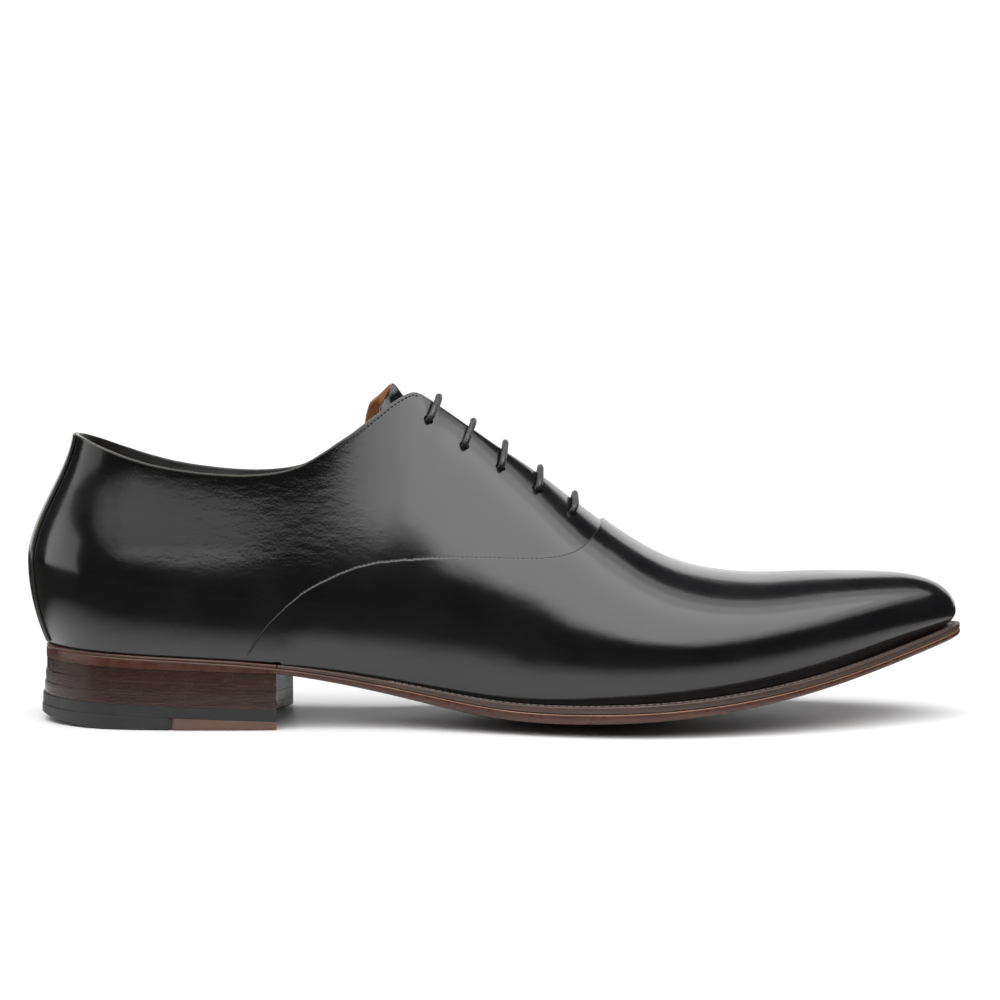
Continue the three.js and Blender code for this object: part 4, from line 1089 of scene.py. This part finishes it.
def build_upper_stitches():
    tree = surface_tree(vamp)
    lines = [offset_line(seam_line(ribs), tree, -1.3) for ribs in SIDES.values()]
    stitch_row("vamp_seam_stitches", lines, tree, UPPER_PITCH, 0.13)
    for side, ribs in SIDES.items():
        tree = surface_tree(quarters[side])
        line = offset_line(top_line(ribs), tree, -1.7)
        stitch_row(f"topline_stitches_{side}", [line], tree, UPPER_PITCH, 0.27)


build_upper_stitches()


# ---------- bottom ----------
LAYER_Z = [18.05, 14, 10.1, 6.2, 2.6]
HEEL_TILT = 2.7 / 80
TOP_BEAD = 0.5
LOW_BEAD = 0.9
RING_WIDTH = 13
SOCK_LOW = 6.6
SOCK_THICK = 0.9


def loft(name, ribs, profile, material):
    """Sweeps a section round the ribs. profile gives arrays of distances and heights per rib."""
    grid = ribs.at(*profile(ribs))
    sheet = Sheet(np.concatenate([grid, grid[:, :1]], 1))
    faces = sheet.faces()
    edges = dict.fromkeys((face[k - 1], face[k]) for face in faces for k in range(len(face)))
    rims = {a: b for a, b in edges if (b, a) not in edges}
    while rims:
        start, at = next(iter(rims.items()))
        loop = [start]
        del rims[start]
        while at != start:
            loop.append(at)
            at = rims.pop(at)
        faces.append(loop[::-1])
    return make(name, sheet.points, faces, material, crease=35)


def camber(ribs, q, x):
    return sole_camber(x) * (1 - (q / ribs.edge[:, None]) ** 2)


def bead(count, radius):
    """A quarter round as shares of its radius, from the flat face to the upright one."""
    a = np.linspace(0, math.pi / 2, count)
    return radius * (1 - np.sin(a)), radius * (1 - np.cos(a))


def outsole_profile(ribs):
    inset, drop = bead(4, TOP_BEAD)
    low_inset, low_drop = bead(5, LOW_BEAD)
    inner = np.linspace(0, 1, 14, endpoint=False)
    edge = ribs.edge[:, None]
    top_q = np.concatenate([inner * (edge - TOP_BEAD), edge - inset], 1)
    low_q = np.concatenate([edge - low_inset[::-1], (edge - LOW_BEAD) * inner[::-1]], 1)
    x_top = ribs.x_at(top_q)
    x_low = ribs.x_at(low_q)
    top = edge_top(x_top) - welt_thickness(x_top) - 0.12 - camber(ribs, top_q, x_top)
    top[:, -4:] = top[:, -4:] - drop
    low = edge_top(x_low) - edge_thickness(x_low) - camber(ribs, low_q, x_low)
    over_heel = LAYER_Z[0] + 0.02 + HEEL_TILT * (BREAST - x_low)
    on_heel = 1 - smooth(BREAST - 1, BREAST + 0.5, x_low)
    low = low + (over_heel - low) * on_heel
    low[:, :5] = low[:, :5] + low_drop[::-1] * (1 - 0.9 * on_heel[:, :5])
    return np.concatenate([top_q, low_q], 1), np.concatenate([top, low], 1)


def ring_profile(ribs):
    """Section of the welt and the heel rand: a strip with rounded outer edges."""
    inset, drop = bead(4, 0.45)
    edge = ribs.edge[:, None] - 0.1
    half = [edge - RING_WIDTH, edge - 6, edge - inset]
    q = np.concatenate(half + [part[:, ::-1] for part in reversed(half)], 1)
    z = edge_top(ribs.x_at(q))
    z[:, 6:] -= welt_thickness(ribs.x_at(q))[:, 6:]
    z[:, 2:6] -= drop
    z[:, 6:10] += drop[::-1]
    return q, z


def sock_profile(ribs):
    """Section of the sock lining, which keeps clear of the counter and the toe puff."""
    inset = 3.2 + 1.8 * (1 - smooth(-100, -85, ribs.xw)) + toe_room(ribs.xw)
    half = (ribs.feather - inset)[:, None] * np.linspace(0, 1, 8)
    q = np.concatenate([half, half[:, ::-1]], 1)
    z = edge_top(ribs.x_at(q)) + SOCK_LOW
    z[:, :8] += SOCK_THICK
    return q, z


def build_bottom():
    outsole = loft("leather_outsole", AROUND, outsole_profile, SOLE)
    outsole.data.materials.append(TREAD)
    for poly in outsole.data.polygons:
        if poly.normal.z < -0.75:
            poly.material_index = 1
    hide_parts("outsole")
    front = AROUND.pick(AROUND.xw > BREAST)
    welt = loft("stitched_welt", front, ring_profile, WELT)
    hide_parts("welt")
    rear = join(MEDIAL.pick(MEDIAL.xw < BREAST - 0.3), LATERAL.pick(LATERAL.xw < BREAST - 0.3))
    rand = loft("heel_rand_leather", rear, ring_profile, SOLE)
    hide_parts("heel_rand")
    sock = loft("sock_lining_leather", AROUND, sock_profile, TAN)
    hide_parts("sock_lining")
    return welt


welt = build_bottom()


def build_welt_stitches():
    ribs = join(LATERAL.pick(LATERAL.xw > -35), TOE, MEDIAL.pick(MEDIAL.xw > -35))
    q = ribs.edge - 0.42 * welt_extension(ribs.xw)
    line = ribs.at(q, edge_top(ribs.ox + ribs.dx * q))
    stitch_row("welt_stitches", [line], surface_tree(welt), 2.3, 0.3, WELT_THREAD)


build_welt_stitches()


# ---------- heel ----------
JOINT_X = -104
JOINT_BULGE = 12
JOINT_HALF = 32.6
ROLL_OFF_X = -132
ROLL_OFF_SLOPE = 0.13
LIFT_FLARE = 0.4
RUBBER_FLARE = 1.4
TOP_PIECE_FLARE = 1.7


def layer_height(k, x, gap=0.0):
    return LAYER_Z[k] + HEEL_TILT * (BREAST - x) + gap


def heel_outline(flare):
    """The plan of a heel layer, from the medial breast corner round the back to the lateral one."""
    ribs = join(MEDIAL.pick(MEDIAL.xw < BREAST), LATERAL.pick(LATERAL.xw < BREAST))
    out = np.clip((HEEL_POLE - ribs.xw) / 38, 0, 1) * flare - 0.15
    return ribs.at(ribs.edge + out, 0 * ribs.edge)[:, :2]


def breast_curve(line, count=40):
    start, end = line[-1], line[0]
    t = np.linspace(0, 1, count + 2)[1:-1]
    hollow = BREAST_DEPTH * 4 * t * (1 - t)
    return np.stack([start[0] + (end[0] - start[0]) * t - hollow, start[1] + (end[1] - start[1]) * t], 1)


def heel_loop(flare):
    line = heel_outline(flare)
    return np.concatenate([line, breast_curve(line)])


def inset_loop(loop, distance):
    ahead = unit(np.roll(loop, -1, axis=0) - np.roll(loop, 1, axis=0))
    return loop + np.stack([-ahead[:, 1], ahead[:, 0]], 1) * distance


def layer(name, loop, z_low, z_high, material, radius=0.07):
    """A flat layer with small rounded edges, between two heights that may tilt along X."""
    inset, drop = bead(4, radius)
    rings = [(i, z_high, -d) for i, d in zip(inset, drop)]
    rings += [(i, z_low, -rise) for i, _, rise in rings[::-1]]
    points = []
    for distance, height, rise in rings:
        plan = inset_loop(loop, distance)
        points += np.column_stack([plan, height(plan[:, 0]) + rise]).tolist()
    faces = [face[:1] + face[:0:-1] for face in ring_faces(len(rings), len(loop))]
    obj = make(name, np.array(points), faces, material, crease=14)
    obj.data.materials.append(PAINT)
    for poly in obj.data.polygons:
        if poly.normal.x > 0.9 and poly.center.x > (BREAST - BREAST_DEPTH - 2) * MM:
            poly.material_index = 1
    return obj


def build_heel():
    for k in range(3):
        lift = layer(
            f"stacked_lift_{k + 1}", heel_loop(LIFT_FLARE * k),
            lambda x: layer_height(k + 1, x, 0.01), lambda x: layer_height(k, x, -0.01), STACK,
        )
        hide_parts(f"heel_lift_{k + 1}")
    lift = layer(
        "black_rubber_lift", heel_loop(RUBBER_FLARE),
        lambda x: layer_height(4, x, 0.03), lambda x: layer_height(3, x, -0.03), RUBBER,
    )
    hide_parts("rubber_lift")


def under_lift(x):
    return layer_height(4, x, -0.03)


def build_top_piece():
    """Rubber behind a curved joint and leather in front of it, flat on the ground."""
    share = np.linspace(-1, 1, 27)
    joint = np.stack([JOINT_X + JOINT_BULGE * (1 - share ** 2), JOINT_HALF * share + 0.3], 1)
    line = heel_outline(TOP_PIECE_FLARE)
    rear = np.concatenate([line[line[:, 0] < JOINT_X - 0.4], joint])
    rubber = layer(
        "top_piece_black_rubber", rear,
        lambda x: ROLL_OFF_SLOPE * np.maximum(0, ROLL_OFF_X - x), under_lift, RUBBER, 0.25,
    )
    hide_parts("top_piece_rubber")
    line = heel_outline(0)
    medial = line[(line[:, 0] > JOINT_X + 0.4) & (line[:, 1] > 0)]
    lateral = line[(line[:, 0] > JOINT_X + 0.4) & (line[:, 1] < 0)]
    loop = np.concatenate([medial, joint[::-1] + [0.1, 0], lateral, breast_curve(line)])
    leather = layer("top_piece_tan_leather", loop, lambda x: 0 * x, under_lift, INSERT, 0.2)
    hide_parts("top_piece_leather")


build_heel()
build_top_piece()

# ---------- carried-over CAD pieces ----------
CAD_LOOKS = {
    "insole": BOARD, "toe_puff": BOARD, "heel_counter": BOARD, "cork_filler": CORK, "shank": STEEL,
}
CAD_LOOKS.update({f"eyelet_{side}_{i}": BRASS for side in ("lateral", "medial") for i in range(1, 6)})
CAD_LOOKS.update({f"heel_nail_{i}": STEEL for i in range(1, 6)})
for node, look in CAD_LOOKS.items():
    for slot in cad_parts[node].material_slots:
        slot.material = look
